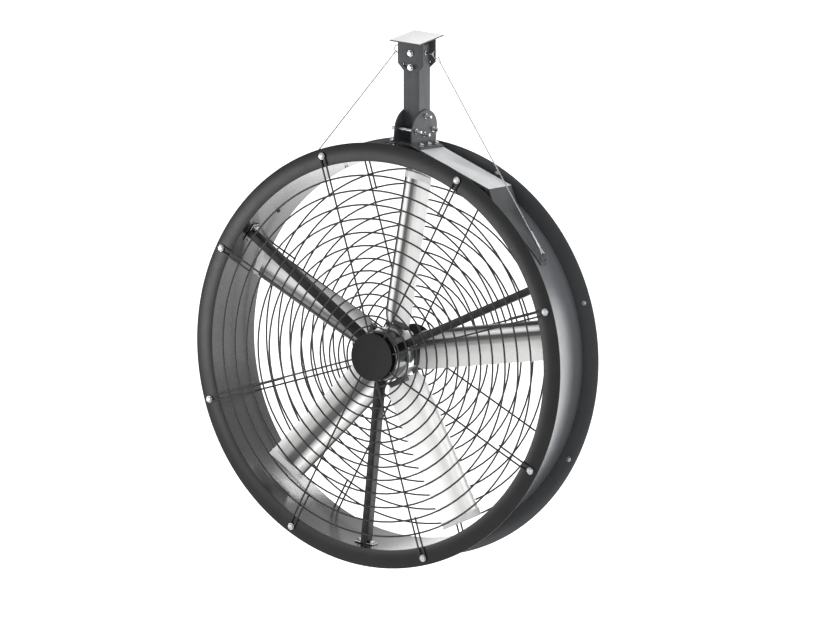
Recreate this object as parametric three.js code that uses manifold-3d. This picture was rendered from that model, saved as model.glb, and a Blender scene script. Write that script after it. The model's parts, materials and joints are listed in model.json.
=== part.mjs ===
// Ceiling-hung drum fan: a ceiling bracket, a post, a tilting drum with guards,
// and a five-blade rotor on a fixed motor. Millimetres, +Z up, front towards -Y.
// Origin: centre of the ceiling plate's top face.
import * as THREE from 'three';
import Module from 'manifold-3d';

const wasm = await Module();
wasm.setup();

// ---- sizes that drive the rest ----------------------------------------------------------
const FLANGE_R = 750;            // outer radius of both flange rings
const FLANGE_WIDTH = 63;         // radial width of a flange ring
const DRUM_DEPTH = 271;          // front flange face to rear flange face
const DRUM_TILT_DEG = -9.36;     // stored tilt of the drum about X
const TILT_PIVOT_DROP = 278;     // ceiling face down to the tilt pivot
const RIDGE_DROP = 94.5;         // tilt pivot down to the top of the saddle

// ---- stock thicknesses ------------------------------------------------------------------
const PLATE_T = 5;
const FLANGE_T = 3;
const WALL_T = 2.5;
const POST_WALL_T = 3.2;
const WIRE_D = 5.5;

// ---- clearances -------------------------------------------------------------------------
const SEAT_GAP = 0.3;            // between faces that rest on each other
const SIDE_GAP = 0.5;            // between parts that turn past each other
const HOLE_GAP = 0.3;            // radial, round a bolt
const SLOT_GAP = 0.75;           // each side of a bolt in an arc slot
const ROTOR_GAP = 0.5;           // axial, fixed motor to turning hub

// ---- ceiling bracket and post -----------------------------------------------------------
const PLATE_X = 122;
const PLATE_Y = 160;
const TAB_X = 105;
const TAB_DROP = 114;            // ceiling face down to the tab's lower edge
const TAB_CORNER = 24;
const POST_X = 64;
const POST_Y = 72;
const SLOPE_PIVOT_DROP = 49;     // ceiling face down to the slope pivot
const SLOPE_SLOT_R = 50;
const SLOPE_SLOT_DEG = 31;
const POST_TOP_RISE = 26;        // slope pivot up to the top of the post
const POST_TAIL = 81;            // tilt pivot down to the end of the post

// ---- bolts ------------------------------------------------------------------------------
const BOLT_R = 6;
const ROD_R = 5;
const HEAD_R = 12;
const HEAD_H = 8;
const NUT_R = 10;
const NUT_H = 9;
const END_H = 5;                 // thread standing out past a nut
const FOOT_BOLT_R = 4;
const SLOPE_BOLT = { shankR: BOLT_R, headR: HEAD_R, headH: HEAD_H, nutR: NUT_R, nutH: NUT_H, endH: END_H };
const GUARD_BOLT = { shankR: BOLT_R, headR: 12.5, headH: HEAD_H, nutR: NUT_R, nutH: NUT_H };
const FOOT_BOLT = { shankR: FOOT_BOLT_R, headR: 8, headH: 9, nutR: 8, nutH: 7 };
const HEAD_TOP_SHARE = 0.7;      // flat top of a head, of its full radius
const BOLT_SIDES = 10;
const SMALL_SIDES = 8;           // small bolts, eyes and ropes
const ROUND_SIDES = 40;          // motor, hub and centre plates
const DRUM_SIDES = 72;

// ---- ears and saddle, in the drum's own frame -------------------------------------------
const YOKE_SHIFT = 18;           // ears and saddle sit behind the drum's middle
const EAR_WIDTH = 164;
const EAR_ARCH = 67;             // height of the ear's elliptical top
const EAR_ABOVE_PIVOT = 22;
const TILT_STOP_DEG = 15;        // each way from the post's own line
const TILT_SLOT_R = 64;
const STOP_ROD_OUT = 57;
const STOP_ROD_DROP = 50;
const FOOT_OUT = 37;             // reach of the ear's foot along X
const FOOT_BOLT_PITCH = 51;
const SADDLE_WIDTH = 153;
const SADDLE_T = 5;
const SADDLE_FLAT = 30;          // half width of the level ridge
const SADDLE_BEND_X = 359;
const SADDLE_BEND_RISE = 85;     // strap's start on the wall up to the saddle's bend
const SADDLE_SLOPE_DEG = 17.8;
const STRAP_START_DEG = 35.4;    // from the drum's top, where the strap meets the wall
const STRAP_END_DEG = 54;
const STRAP_END_WIDTH = 30;
const ANCHOR_DEG = 52.4;

// ---- stays ------------------------------------------------------------------------------
const POST_EYE_R = 13;           // centreline radius of an eye on the post
const ANCHOR_EYE_R = 10;         // centreline radius of a stay anchor
const EYE_WIRE_R = 3;
const EYE_SHANK_R = 4;
const EYE_NUT_R = 7.5;
const EYE_END = 3;               // eye's thread standing out past its nut
const ANCHOR_STANDOFF = 1;       // strap's face to the anchor's ring
const LOOP_R = 8.5;              // centreline radius of a stay's end loop
const LOOP_LENGTH = 30;
const ROPE_R = 2.5;
const ROPE_END_OFFSET = 1.2;     // each loop end from the rope's own line
const FERRULE_R = 5.5;
const FERRULE_LAP = 6;           // ferrule's end over the loop
const LOWER_FERRULE = 64;
const UPPER_FERRULE = 58;
const EYE_SIDES = 12;
const POST_EYE_X = 78;
const POST_EYE_BELOW = 3;        // below the slope pivot

// ---- guards -----------------------------------------------------------------------------
const GUARD_BOLT_INSET = 26;     // flange's edge in to its guard bolts
const GUARD_SPOKES = 8;
const SPOKE_START_DEG = 22.5;
const RING_INSET = 88;           // guard bolts in to the outermost ring
const RING_INNER_GAP = 24;       // centre plate out to the innermost ring
const RING_COUNT = 13;
const RING_STEP_CHANGE = 16;     // outermost step less the innermost one
const RING_SIDES_OUTER = 32;
const RING_SIDES_INNER = 12;
const WELD_DEPTH = 1.2;
const HAIRPIN_R = BOLT_R + HOLE_GAP + WIRE_D / 2;
const HAIRPIN_SHORT_LEG = 146;
const HAIRPIN_PLATE_LAP = 22;    // long leg's end inside the centre plate's edge
const CENTRE_PLATE_R = 84;
const CENTRE_PLATE_T = 4;

// ---- motor, struts and rotor ------------------------------------------------------------
const STRUT_W = 25.4;
const STRUT_D = 38.1;
const STRUT_WALL = 2.5;
const STRUT_SETBACK = 30;        // motor face to the struts' front
const STRUT_FOOT_W = 74;
const STRUT_FOOT_T = 4;
const STRUTS_DEG = [60, 180, 300];
const MOTOR_R = 90;
const MOTOR_FRONT_V = -122;      // drum's middle plane to the motor's face
const MOTOR_DEPTH = 75;
const MOTOR_CHAMFER = 6;
const SHAFT_R = 12.5;
const SHAFT_END = 4;             // shaft standing out past the hub
const HUB_R = 95;
const HUB_DEPTH = 72;
const HUB_CHAMFER = 8;
const BLADE_COUNT = 5;
const BLADE_FIRST_DEG = 3.8;
const BLADE_PITCH_DEG = 21;
const BLADE_MID_V = -4;
const BLADE_CHORD = 145;
const BLADE_ROOT_R = 100;
const CAP_T = 24;
const TIP_GAP = 38.2;            // blade cap to the drum's wall
const CAP_MARGIN = 2.5;
const SPAR_IN_R = 60;
const SPAR_OUT_R = 190;

// ---- sizes worked out from those above --------------------------------------------------
const TILT = THREE.MathUtils.degToRad(DRUM_TILT_DEG);
const HALF_DEPTH = DRUM_DEPTH / 2;
const WALL_R = FLANGE_R - FLANGE_WIDTH;
const WALL_INNER_R = WALL_R - WALL_T;
const WALL_FLAT_R = WALL_INNER_R * Math.cos(Math.PI / DRUM_SIDES);
const SLOPE_TAN = Math.tan(THREE.MathUtils.degToRad(SADDLE_SLOPE_DEG));
const STRAP_START_Z = WALL_R * Math.cos(THREE.MathUtils.degToRad(STRAP_START_DEG));
const SADDLE_BEND_Z = STRAP_START_Z + SADDLE_BEND_RISE;
const RIDGE_Z = SADDLE_BEND_Z + (SADDLE_BEND_X - SADDLE_FLAT) * SLOPE_TAN;
const PIVOT_Z = RIDGE_Z + RIDGE_DROP;
const TAB_IN_Y = POST_Y / 2 + SIDE_GAP;
const TAB_OUT_Y = TAB_IN_Y + PLATE_T;
const EAR_IN_X = POST_X / 2 + SIDE_GAP;
const EAR_OUT_X = EAR_IN_X + PLATE_T;
const GUARD_BOLT_RING_R = FLANGE_R - GUARD_BOLT_INSET;
const RING_OUTER_R = GUARD_BOLT_RING_R - RING_INSET;
const RING_INNER_R = CENTRE_PLATE_R + RING_INNER_GAP;
const BLADE_TIP_R = WALL_INNER_R - TIP_GAP - CAP_T - SEAT_GAP;
const STRUT_FRONT_V = MOTOR_FRONT_V + STRUT_SETBACK;
const MOTOR_REAR_V = MOTOR_FRONT_V + MOTOR_DEPTH;
const HUB_FRONT_V = MOTOR_REAR_V + ROTOR_GAP;
const HUB_REAR_V = HUB_FRONT_V + HUB_DEPTH;

const rad = THREE.MathUtils.degToRad;

// ---- solids -----------------------------------------------------------------------------
/** Closed manifold from a buffer geometry, with its matching corners joined. */
function solid(geometry) {
  const source = geometry.index ? geometry.toNonIndexed() : geometry;
  const position = source.getAttribute('position');
  const corners = new Map();
  const vertices = [];
  const triangles = [];
  const grid = 1e4;
  for (let i = 0; i < position.count; i += 3) {
    const face = [0, 1, 2].map((k) => {
      const p = [position.getX(i + k), position.getY(i + k), position.getZ(i + k)];
      const key = p.map((value) => Math.round(value * grid)).join();
      if (!corners.has(key)) {
        corners.set(key, vertices.length / 3);
        vertices.push(...p);
      }
      return corners.get(key);
    });
    if (new Set(face).size === 3) triangles.push(...face);
  }
  return new wasm.Manifold(new wasm.Mesh({
    numProp: 3,
    vertProperties: new Float32Array(vertices),
    triVerts: new Uint32Array(triangles),
  }));
}

/** Flat-shaded buffer geometry of a manifold. */
function surface(manifold) {
  const mesh = manifold.getMesh();
  const geometry = new THREE.BufferGeometry();
  geometry.setAttribute('position', new THREE.BufferAttribute(new Float32Array(mesh.vertProperties), 3));
  geometry.setIndex(new THREE.BufferAttribute(new Uint32Array(mesh.triVerts), 1));
  const flat = geometry.toNonIndexed();
  flat.computeVertexNormals();
  return flat;
}

const join = (parts) => wasm.Manifold.union(parts);
const cut = (body, tools) => body.subtract(join(tools));
const moved = (manifold, matrix) => manifold.transform(matrix.elements);
const shifted = (x, y, z) => new THREE.Matrix4().makeTranslation(x, y, z);
const turnedX = (angle) => new THREE.Matrix4().makeRotationX(angle);
const turnedY = (angle) => new THREE.Matrix4().makeRotationY(angle);
const turnedZ = (angle) => new THREE.Matrix4().makeRotationZ(angle);

/** Box between two corners. */
function block(x0, x1, y0, y1, z0, z1) {
  const box = new THREE.BoxGeometry(x1 - x0, y1 - y0, z1 - z0);
  box.translate((x0 + x1) / 2, (y0 + y1) / 2, (z0 + z1) / 2);
  return solid(box);
}

/** Prism of a closed outline, standing along +Z from 0 to its height. */
function prism(outline, height) {
  const shape = new THREE.Shape(outline.map(([x, y]) => new THREE.Vector2(x, y)));
  return solid(new THREE.ExtrudeGeometry(shape, { depth: height, bevelEnabled: false }));
}

/** Body turned about Y from a closed [radius, y] outline. */
function turned(outline, sides) {
  const points = outline.map(([r, y]) => new THREE.Vector2(r, y));
  if (outline[0][0] > 0) points.push(points[0].clone());
  const body = solid(new THREE.LatheGeometry(points, sides));
  if (body.volume() > 0) return body;
  const reversed = points.slice().reverse();
  return solid(new THREE.LatheGeometry(reversed, sides));
}

/** Cylinder along Y between two heights. */
const rodY = (r, y0, y1, sides = BOLT_SIDES) => turned([[0, y0], [r, y0], [r, y1], [0, y1]], sides);

/** Takes a body whose axis is Y and lays that axis along X. */
const alongX = (body) => moved(body, turnedZ(-Math.PI / 2));

/** Ring of round wire whose normal is Y. */
function wireRing(radius, wireRadius, sides, wireSides = 4) {
  const outline = [];
  for (let k = 0; k < wireSides; k += 1) {
    const angle = (k + 0.5) * 2 * Math.PI / wireSides;
    outline.push([radius + wireRadius * Math.cos(angle), wireRadius * Math.sin(angle)]);
  }
  return turned(outline, sides);
}

/** Curve that is sampled at its own points and nowhere between them. */
class PointPath extends THREE.CatmullRomCurve3 {
  getPointAt(t) {
    const last = this.points.length - 1;
    return this.points[Math.round(t * last)].clone();
  }
}

/** Wire of even section along a path in the plane Y = 0. */
function wireAlong(points, wireRadius, wireSides = 4) {
  const outline = [];
  for (let k = 0; k < wireSides; k += 1) {
    const angle = (k + 0.5) * 2 * Math.PI / wireSides;
    outline.push(new THREE.Vector2(wireRadius * Math.cos(angle), wireRadius * Math.sin(angle)));
  }
  return solid(new THREE.ExtrudeGeometry(new THREE.Shape(outline), {
    steps: points.length - 1,
    extrudePath: new PointPath(points),
    bevelEnabled: false,
  }));
}

/** Outline of an arc slot about the origin, its middle at the bottom. */
function slotOutline(radius, halfWidth, halfAngle, steps = 8) {
  const outline = [];
  const at = (r, angle) => [r * Math.sin(angle), -r * Math.cos(angle)];
  for (let i = 0; i <= steps; i += 1) {
    outline.push(at(radius + halfWidth, -halfAngle + 2 * halfAngle * i / steps));
  }
  for (let i = 1; i < steps; i += 1) {
    const [cx, cy] = at(radius, halfAngle);
    const angle = halfAngle + Math.PI * i / steps;
    outline.push([cx + halfWidth * Math.sin(angle), cy - halfWidth * Math.cos(angle)]);
  }
  for (let i = 0; i <= steps; i += 1) {
    outline.push(at(radius - halfWidth, halfAngle - 2 * halfAngle * i / steps));
  }
  for (let i = 1; i < steps; i += 1) {
    const [cx, cy] = at(radius, -halfAngle);
    const angle = -halfAngle + Math.PI + Math.PI * i / steps;
    outline.push([cx + halfWidth * Math.sin(angle), cy - halfWidth * Math.cos(angle)]);
  }
  return outline;
}

/** Bolt along Y: head before y0, shank to y1, nut past it and, for a long bolt, its thread end. */
function boltY(y0, y1, { shankR, headR, headH, nutR, nutH, endH = 0 }, sides = BOLT_SIDES) {
  const end = [[shankR, y1 + nutH], [shankR, y1 + nutH + endH], [0, y1 + nutH + endH]];
  return turned([
    [0, y0 - headH],
    [headR * HEAD_TOP_SHARE, y0 - headH],
    [headR, y0 - headH / 2],
    [headR, y0],
    [shankR, y0],
    [shankR, y1],
    [nutR, y1],
    [nutR, y1 + nutH],
    ...(endH > 0 ? end : [[0, y1 + nutH]]),
  ], sides);
}

/** Cross bolt along X with a nut and a thread end on each side. */
function crossBolt(halfLength, shankR, nutR) {
  return alongX(turned([
    [0, -halfLength - NUT_H - END_H],
    [shankR, -halfLength - NUT_H - END_H],
    [shankR, -halfLength - NUT_H],
    [nutR, -halfLength - NUT_H],
    [nutR, -halfLength],
    [shankR, -halfLength],
    [shankR, halfLength],
    [nutR, halfLength],
    [nutR, halfLength + NUT_H],
    [shankR, halfLength + NUT_H],
    [shankR, halfLength + NUT_H + END_H],
    [0, halfLength + NUT_H + END_H],
  ], BOLT_SIDES));
}

// ---- frames -----------------------------------------------------------------------------
/** From the drum's own frame (origin on its axis at mid depth) to the part's frame. */
const DRUM_FRAME = shifted(0, 0, -TILT_PIVOT_DROP)
  .multiply(turnedX(TILT))
  .multiply(shifted(0, -YOKE_SHIFT, -PIVOT_Z));

/** Turns a body built at the drum's top round the drum's axis, clockwise from the front. */
const roundDrum = (body, degrees) => moved(body, turnedY(rad(degrees)));

/** Angles, in degrees, that share a full turn evenly. */
const evenAngles = (count, first) => Array.from({ length: count }, (unused, k) => first + k * 360 / count);

const parts = [];

/** Keeps a finished body, already in the part's frame. */
function keep(name, body, look) {
  parts.push({ name, body, look });
}

/** Keeps a body built in the drum's frame. */
const keepOnDrum = (name, body, look) => keep(name, moved(body, DRUM_FRAME), look);

const LOOKS = {
  black: { color: 0x2a2a2c, metalness: 0.2, roughness: 0.55 },
  bracket: { color: 0x6b6d70, metalness: 0.3, roughness: 0.5 },
  zinc: { color: 0xc9ccd0, metalness: 0.9, roughness: 0.35 },
  blade: { color: 0xd9dadb, metalness: 0.8, roughness: 0.3 },
  motor: { color: 0x707378, metalness: 0.4, roughness: 0.5 },
  rope: { color: 0xb8bbbf, metalness: 0.9, roughness: 0.4 },
  cap: { color: 0xc4c6c8, metalness: 0.3, roughness: 0.5 },
};

// ---- ceiling bracket --------------------------------------------------------------------
{
  const half = TAB_X / 2;
  const tabOutline = [
    [-half, -PLATE_T / 2],
    [-half, -TAB_DROP + TAB_CORNER],
    [-half + TAB_CORNER, -TAB_DROP],
    [half - TAB_CORNER, -TAB_DROP],
    [half, -TAB_DROP + TAB_CORNER],
    [half, -PLATE_T / 2],
  ];
  const upright = turnedX(Math.PI / 2);
  const tab = moved(prism(tabOutline, PLATE_T), upright);
  const slot = prism(slotOutline(SLOPE_SLOT_R, BOLT_R + SLOT_GAP, rad(SLOPE_SLOT_DEG)), PLATE_Y);
  const slotTool = moved(slot, shifted(0, PLATE_Y / 2, -SLOPE_PIVOT_DROP).multiply(upright));
  const pivotHole = rodY(BOLT_R + HOLE_GAP, -PLATE_Y / 2, PLATE_Y / 2);
  const pivotTool = moved(pivotHole, shifted(0, 0, -SLOPE_PIVOT_DROP));
  const bracket = join([
    block(-PLATE_X / 2, PLATE_X / 2, -PLATE_Y / 2, PLATE_Y / 2, -PLATE_T, 0),
    moved(tab, shifted(0, -TAB_IN_Y, 0)),
    moved(tab, shifted(0, TAB_OUT_Y, 0)),
  ]);
  keep('ceiling_bracket', cut(bracket, [slotTool, pivotTool]), LOOKS.bracket);
}

// ---- post, slope bolts and tilt pivot bolt ----------------------------------------------
{
  const top = -SLOPE_PIVOT_DROP + POST_TOP_RISE;
  const end = -TILT_PIVOT_DROP - POST_TAIL;
  const x = POST_X / 2;
  const y = POST_Y / 2;
  const slot = prism(slotOutline(TILT_SLOT_R, BOLT_R + SLOT_GAP, rad(TILT_STOP_DEG + 1)), 2 * POST_X);
  const slotTool = moved(slot, shifted(-POST_X, 0, -TILT_PIVOT_DROP)
    .multiply(turnedZ(Math.PI / 2))
    .multiply(turnedX(Math.PI / 2)));
  const hole = rodY(BOLT_R + HOLE_GAP, -POST_Y, POST_Y);
  const eyeHole = alongX(rodY(EYE_SHANK_R + HOLE_GAP, -POST_X, POST_X));
  const innerX = x - POST_WALL_T;
  const innerY = y - POST_WALL_T;
  keep('post', cut(block(-x, x, -y, y, end, top), [
    block(-innerX, innerX, -innerY, innerY, end - PLATE_T, top + PLATE_T),
    slotTool,
    moved(hole, shifted(0, 0, -SLOPE_PIVOT_DROP)),
    moved(hole, shifted(0, 0, -SLOPE_PIVOT_DROP - SLOPE_SLOT_R)),
    moved(alongX(hole), shifted(0, 0, -TILT_PIVOT_DROP)),
    moved(eyeHole, shifted(0, 0, -SLOPE_PIVOT_DROP - POST_EYE_BELOW)),
  ]), LOOKS.bracket);

  const reach = TAB_OUT_Y + SEAT_GAP;
  const slopeBolt = boltY(-reach, reach, SLOPE_BOLT);
  keep('slope_pivot_bolt', moved(slopeBolt, shifted(0, 0, -SLOPE_PIVOT_DROP)), LOOKS.zinc);
  keep('slope_lock_bolt', moved(slopeBolt, shifted(0, 0, -SLOPE_PIVOT_DROP - SLOPE_SLOT_R)), LOOKS.zinc);
  const pivotBolt = crossBolt(EAR_OUT_X + SEAT_GAP, BOLT_R, NUT_R);
  keep('tilt_pivot_bolt', moved(pivotBolt, shifted(0, 0, -TILT_PIVOT_DROP)), LOOKS.zinc);
}

// ---- stay eyes on the post --------------------------------------------------------------
/** Eye whose ring centre is the origin; its shank runs down -Y through nuts at the given heights. */
function eyeBolt(ringR, reach, nutHeights) {
  return join([
    moved(wireRing(ringR, EYE_WIRE_R, EYE_SIDES), turnedX(Math.PI / 2)),
    rodY(EYE_SHANK_R, -reach, -ringR, SMALL_SIDES),
    ...nutHeights.map((y) => rodY(EYE_NUT_R, y, y + PLATE_T, 6)),
  ]);
}

for (const [side, sign] of [['left', -1], ['right', 1]]) {
  const near = POST_EYE_X - POST_X / 2 - SEAT_GAP;
  const far = near + POST_WALL_T + 2 * SEAT_GAP;
  const bolt = eyeBolt(POST_EYE_R, far + PLATE_T + EYE_END, [-near, -far - PLATE_T]);
  const eye = alongX(moved(bolt, turnedY(Math.PI / 2)));
  const placed = moved(eye, shifted(POST_EYE_X, 0, -SLOPE_PIVOT_DROP - POST_EYE_BELOW));
  keep(`${side}_eye_bolt`, sign > 0 ? placed : moved(placed, turnedZ(Math.PI)), LOOKS.zinc);
}

// ---- ears, tilt bolts and saddle --------------------------------------------------------
const footLevel = (x) => SADDLE_BEND_Z + (SADDLE_BEND_X - x) * SLOPE_TAN;
const SLOPE_COS = Math.cos(rad(SADDLE_SLOPE_DEG));
const FOOT_BOLT_X = EAR_OUT_X + FOOT_OUT / 2;

/** Right ear: an upright web with an arched top and a sloping foot. */
function earBody() {
  const half = EAR_WIDTH / 2;
  const top = PIVOT_Z + EAR_ABOVE_PIVOT;
  const gap = SEAT_GAP / SLOPE_COS;
  const outline = [[-half, footLevel(EAR_IN_X) + gap], [half, footLevel(EAR_IN_X) + gap]];
  const steps = 16;
  for (let i = 0; i <= steps; i += 1) {
    const angle = Math.PI * i / steps;
    outline.push([half * Math.cos(angle), top - EAR_ARCH + EAR_ARCH * Math.sin(angle)]);
  }
  const stand = new THREE.Matrix4().makeBasis(
    new THREE.Vector3(0, 1, 0),
    new THREE.Vector3(0, 0, 1),
    new THREE.Vector3(1, 0, 0),
  );
  const web = moved(prism(outline, PLATE_T), shifted(EAR_IN_X, YOKE_SHIFT, 0).multiply(stand));
  const footEnd = EAR_OUT_X + FOOT_OUT;
  const lift = PLATE_T / SLOPE_COS;
  const footOutline = [
    [EAR_IN_X, footLevel(EAR_IN_X) + gap],
    [footEnd, footLevel(footEnd) + gap],
    [footEnd, footLevel(footEnd) + gap + lift],
    [EAR_IN_X, footLevel(EAR_IN_X) + gap + lift],
  ];
  const lay = turnedX(Math.PI / 2);
  const foot = moved(
    prism(footOutline, SADDLE_WIDTH),
    shifted(0, YOKE_SHIFT + SADDLE_WIDTH / 2, 0).multiply(lay),
  );
  const across = (r, v, z) => moved(alongX(rodY(r + HOLE_GAP, 0, EAR_OUT_X * 2)), shifted(0, v, z));
  return cut(join([web, foot]), [
    across(BOLT_R, YOKE_SHIFT, PIVOT_Z),
    across(BOLT_R, YOKE_SHIFT, PIVOT_Z - TILT_SLOT_R),
    across(ROD_R, YOKE_SHIFT - STOP_ROD_OUT, PIVOT_Z - STOP_ROD_DROP),
    across(ROD_R, YOKE_SHIFT + STOP_ROD_OUT, PIVOT_Z - STOP_ROD_DROP),
    ...footBoltPlaces().map((place) => moved(footHole(), place)),
  ]);
}

/** Places of one side's foot bolts: +Y of each place is the foot's outward normal. */
function footBoltPlaces() {
  return [-1, 0, 1].map((k) => shifted(FOOT_BOLT_X, YOKE_SHIFT + k * FOOT_BOLT_PITCH, footLevel(FOOT_BOLT_X))
    .multiply(turnedY(rad(SADDLE_SLOPE_DEG)))
    .multiply(turnedX(Math.PI / 2)));
}

/** Clearance hole for a foot bolt. */
function footHole() {
  return rodY(FOOT_BOLT_R + HOLE_GAP, -SADDLE_T * 3, SADDLE_T * 3);
}

/** Foot bolt: its head stands on the foot and its nut is under the saddle. */
function footBolt() {
  const top = PLATE_T + 2 * SEAT_GAP;
  const under = -SADDLE_T - SEAT_GAP;
  return moved(
    boltY(-top, -under, FOOT_BOLT, SMALL_SIDES),
    turnedX(Math.PI),
  );
}

const mirrorX = new THREE.Matrix4().makeScale(-1, 1, 1);

keepOnDrum('right_ear', earBody(), LOOKS.bracket);
keepOnDrum('left_ear', moved(earBody(), mirrorX), LOOKS.bracket);

const earBolt = (r, v, z) => moved(crossBolt(EAR_OUT_X + SEAT_GAP, r, NUT_R), shifted(0, v, z));
keepOnDrum('tilt_clamp_bolt', earBolt(BOLT_R, YOKE_SHIFT, PIVOT_Z - TILT_SLOT_R), LOOKS.zinc);
const rodZ = PIVOT_Z - STOP_ROD_DROP;
keepOnDrum('front_stop_rod', earBolt(ROD_R, YOKE_SHIFT - STOP_ROD_OUT, rodZ), LOOKS.zinc);
keepOnDrum('rear_stop_rod', earBolt(ROD_R, YOKE_SHIFT + STOP_ROD_OUT, rodZ), LOOKS.zinc);

/** Saddle: a folded plate whose two tapered straps follow the drum's wall. */
function saddleBody() {
  const inner = WALL_R + SEAT_GAP;
  const outer = inner + SADDLE_T;
  const at = (r, degrees) => [r * Math.sin(rad(degrees)), r * Math.cos(rad(degrees))];
  const steps = 6;
  const strapDeg = (i) => STRAP_START_DEG + (STRAP_END_DEG - STRAP_START_DEG) * i / steps;
  const upper = [[SADDLE_FLAT, RIDGE_Z], [SADDLE_BEND_X, SADDLE_BEND_Z]];
  const lower = [[SADDLE_FLAT, RIDGE_Z - SADDLE_T], [SADDLE_BEND_X - SADDLE_T, SADDLE_BEND_Z - SADDLE_T]];
  for (let i = 0; i <= steps; i += 1) {
    upper.push(at(outer, strapDeg(i)));
    lower.push(at(inner, strapDeg(i)));
  }
  const right = [...upper, ...lower.reverse()];
  const flip = ([x, z]) => [-x, z];
  const outline = [...right, ...right.map(flip).reverse()];
  const laid = moved(
    prism(outline, SADDLE_WIDTH),
    shifted(0, YOKE_SHIFT + SADDLE_WIDTH / 2, 0).multiply(turnedX(Math.PI / 2)),
  );
  const taperLength = outer * rad(STRAP_END_DEG - STRAP_START_DEG);
  const margin = 20;
  const wide = SADDLE_WIDTH / 2;
  const narrow = STRAP_END_WIDTH / 2;
  const side = [
    [0, wide],
    [taperLength, narrow],
    [taperLength + margin, narrow],
    [taperLength + margin, wide + margin],
    [0, wide + margin],
  ];
  const wedgeDepth = FLANGE_WIDTH;
  const tools = [];
  for (const sx of [1, -1]) {
    for (const sy of [1, -1]) {
      const wedge = prism(side.map(([s, v]) => [s * sx, v * sy]), wedgeDepth);
      const middle = (STRAP_START_DEG + STRAP_END_DEG) / 2 * sx;
      const start = shifted(-taperLength / 2 * sx, YOKE_SHIFT, WALL_R - wedgeDepth / 2);
      tools.push(moved(wedge, turnedY(rad(middle)).multiply(start)));
    }
    tools.push(roundDrum(anchorHole(), ANCHOR_DEG * sx));
    for (const place of footBoltPlaces()) {
      const hole = moved(footHole(), place);
      tools.push(sx > 0 ? hole : moved(hole, mirrorX));
    }
  }
  return cut(laid, tools);
}

/** Radial hole for a stay anchor, at the drum's top. */
function anchorHole() {
  const hole = moved(rodY(EYE_SHANK_R + HOLE_GAP, 0, FLANGE_WIDTH), turnedX(Math.PI / 2));
  return moved(hole, shifted(0, YOKE_SHIFT, WALL_INNER_R - FLANGE_WIDTH / 2));
}

keepOnDrum('saddle', saddleBody(), LOOKS.bracket);

footBoltPlaces().forEach((place, i) => {
  const body = moved(footBolt(), place);
  keepOnDrum(`right_foot_bolt_${i + 1}`, body, LOOKS.zinc);
  keepOnDrum(`left_foot_bolt_${i + 1}`, moved(body, mirrorX), LOOKS.zinc);
});

// ---- drum -------------------------------------------------------------------------------
const spokeAngles = evenAngles(GUARD_SPOKES, SPOKE_START_DEG);

/** Flange ring with its guard bolt holes; its outer face is at y0. */
function flangeRing(y0, y1) {
  const ring = turned([
    [WALL_INNER_R, y0],
    [FLANGE_R, y0],
    [FLANGE_R, y1],
    [WALL_INNER_R, y1],
  ], DRUM_SIDES);
  const drill = rodY(BOLT_R + HOLE_GAP, y0 - FLANGE_T, y1 + FLANGE_T);
  const hole = moved(drill, shifted(0, 0, GUARD_BOLT_RING_R));
  return cut(ring, spokeAngles.map((angle) => roundDrum(hole, angle)));
}

keepOnDrum('front_flange_ring', flangeRing(-HALF_DEPTH, -HALF_DEPTH + FLANGE_T), LOOKS.black);
keepOnDrum('rear_flange_ring', flangeRing(HALF_DEPTH - FLANGE_T, HALF_DEPTH), LOOKS.black);

const wallHalf = HALF_DEPTH - FLANGE_T - SEAT_GAP;
keepOnDrum('drum_wall', cut(turned([
  [WALL_INNER_R, -wallHalf],
  [WALL_R, -wallHalf],
  [WALL_R, wallHalf],
  [WALL_INNER_R, wallHalf],
], DRUM_SIDES), [ANCHOR_DEG, -ANCHOR_DEG].map((angle) => roundDrum(anchorHole(), angle))), LOOKS.black);

// ---- guards -----------------------------------------------------------------------------
/** Radii of the guard's rings, from the outermost in. */
function ringRadii() {
  const meanStep = (RING_OUTER_R - RING_INNER_R) / (RING_COUNT - 1);
  const radii = [RING_OUTER_R];
  for (let i = 0; i < RING_COUNT - 1; i += 1) {
    const share = i / (RING_COUNT - 2);
    radii.push(radii[i] - meanStep - RING_STEP_CHANGE * (0.5 - share));
  }
  return radii;
}

/** Front guard about the drum's axis, its rings welded behind (1) or before (-1) the hairpins. */
function guardBody(ringSide, extra) {
  const wireR = WIRE_D / 2 * Math.SQRT2;
  const hairpinV = -HALF_DEPTH - SEAT_GAP - WIRE_D / 2;
  const ringV = hairpinV + ringSide * (WIRE_D - WELD_DEPTH);
  const radii = ringRadii();
  const rings = radii.map((radius, i) => {
    const share = i / (RING_COUNT - 1);
    const sides = RING_SIDES_OUTER + (RING_SIDES_INNER - RING_SIDES_OUTER) * share;
    return moved(wireRing(radius, wireR, Math.round(sides / 4) * 4), shifted(0, ringV, 0));
  });
  const path = [new THREE.Vector3(HAIRPIN_R, 0, CENTRE_PLATE_R - HAIRPIN_PLATE_LAP)];
  const bend = 6;
  for (let i = 0; i <= bend; i += 1) {
    const angle = Math.PI * i / bend;
    path.push(new THREE.Vector3(
      HAIRPIN_R * Math.cos(angle),
      0,
      GUARD_BOLT_RING_R + HAIRPIN_R * Math.sin(angle),
    ));
  }
  path.push(new THREE.Vector3(-HAIRPIN_R, 0, GUARD_BOLT_RING_R - HAIRPIN_SHORT_LEG));
  const hairpin = moved(wireAlong(path, wireR), shifted(0, hairpinV, 0));
  const hairpins = spokeAngles.map((angle) => roundDrum(hairpin, angle));
  return join([...rings, ...hairpins, ...extra]);
}

const plateFront = -HALF_DEPTH - SEAT_GAP - WIRE_D;
const centrePlate = (gap, weld) => rodY(
  CENTRE_PLATE_R,
  plateFront - gap - CENTRE_PLATE_T + weld,
  plateFront - gap + weld,
  ROUND_SIDES,
);
const toRear = new THREE.Matrix4().makeScale(1, -1, 1);

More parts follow.
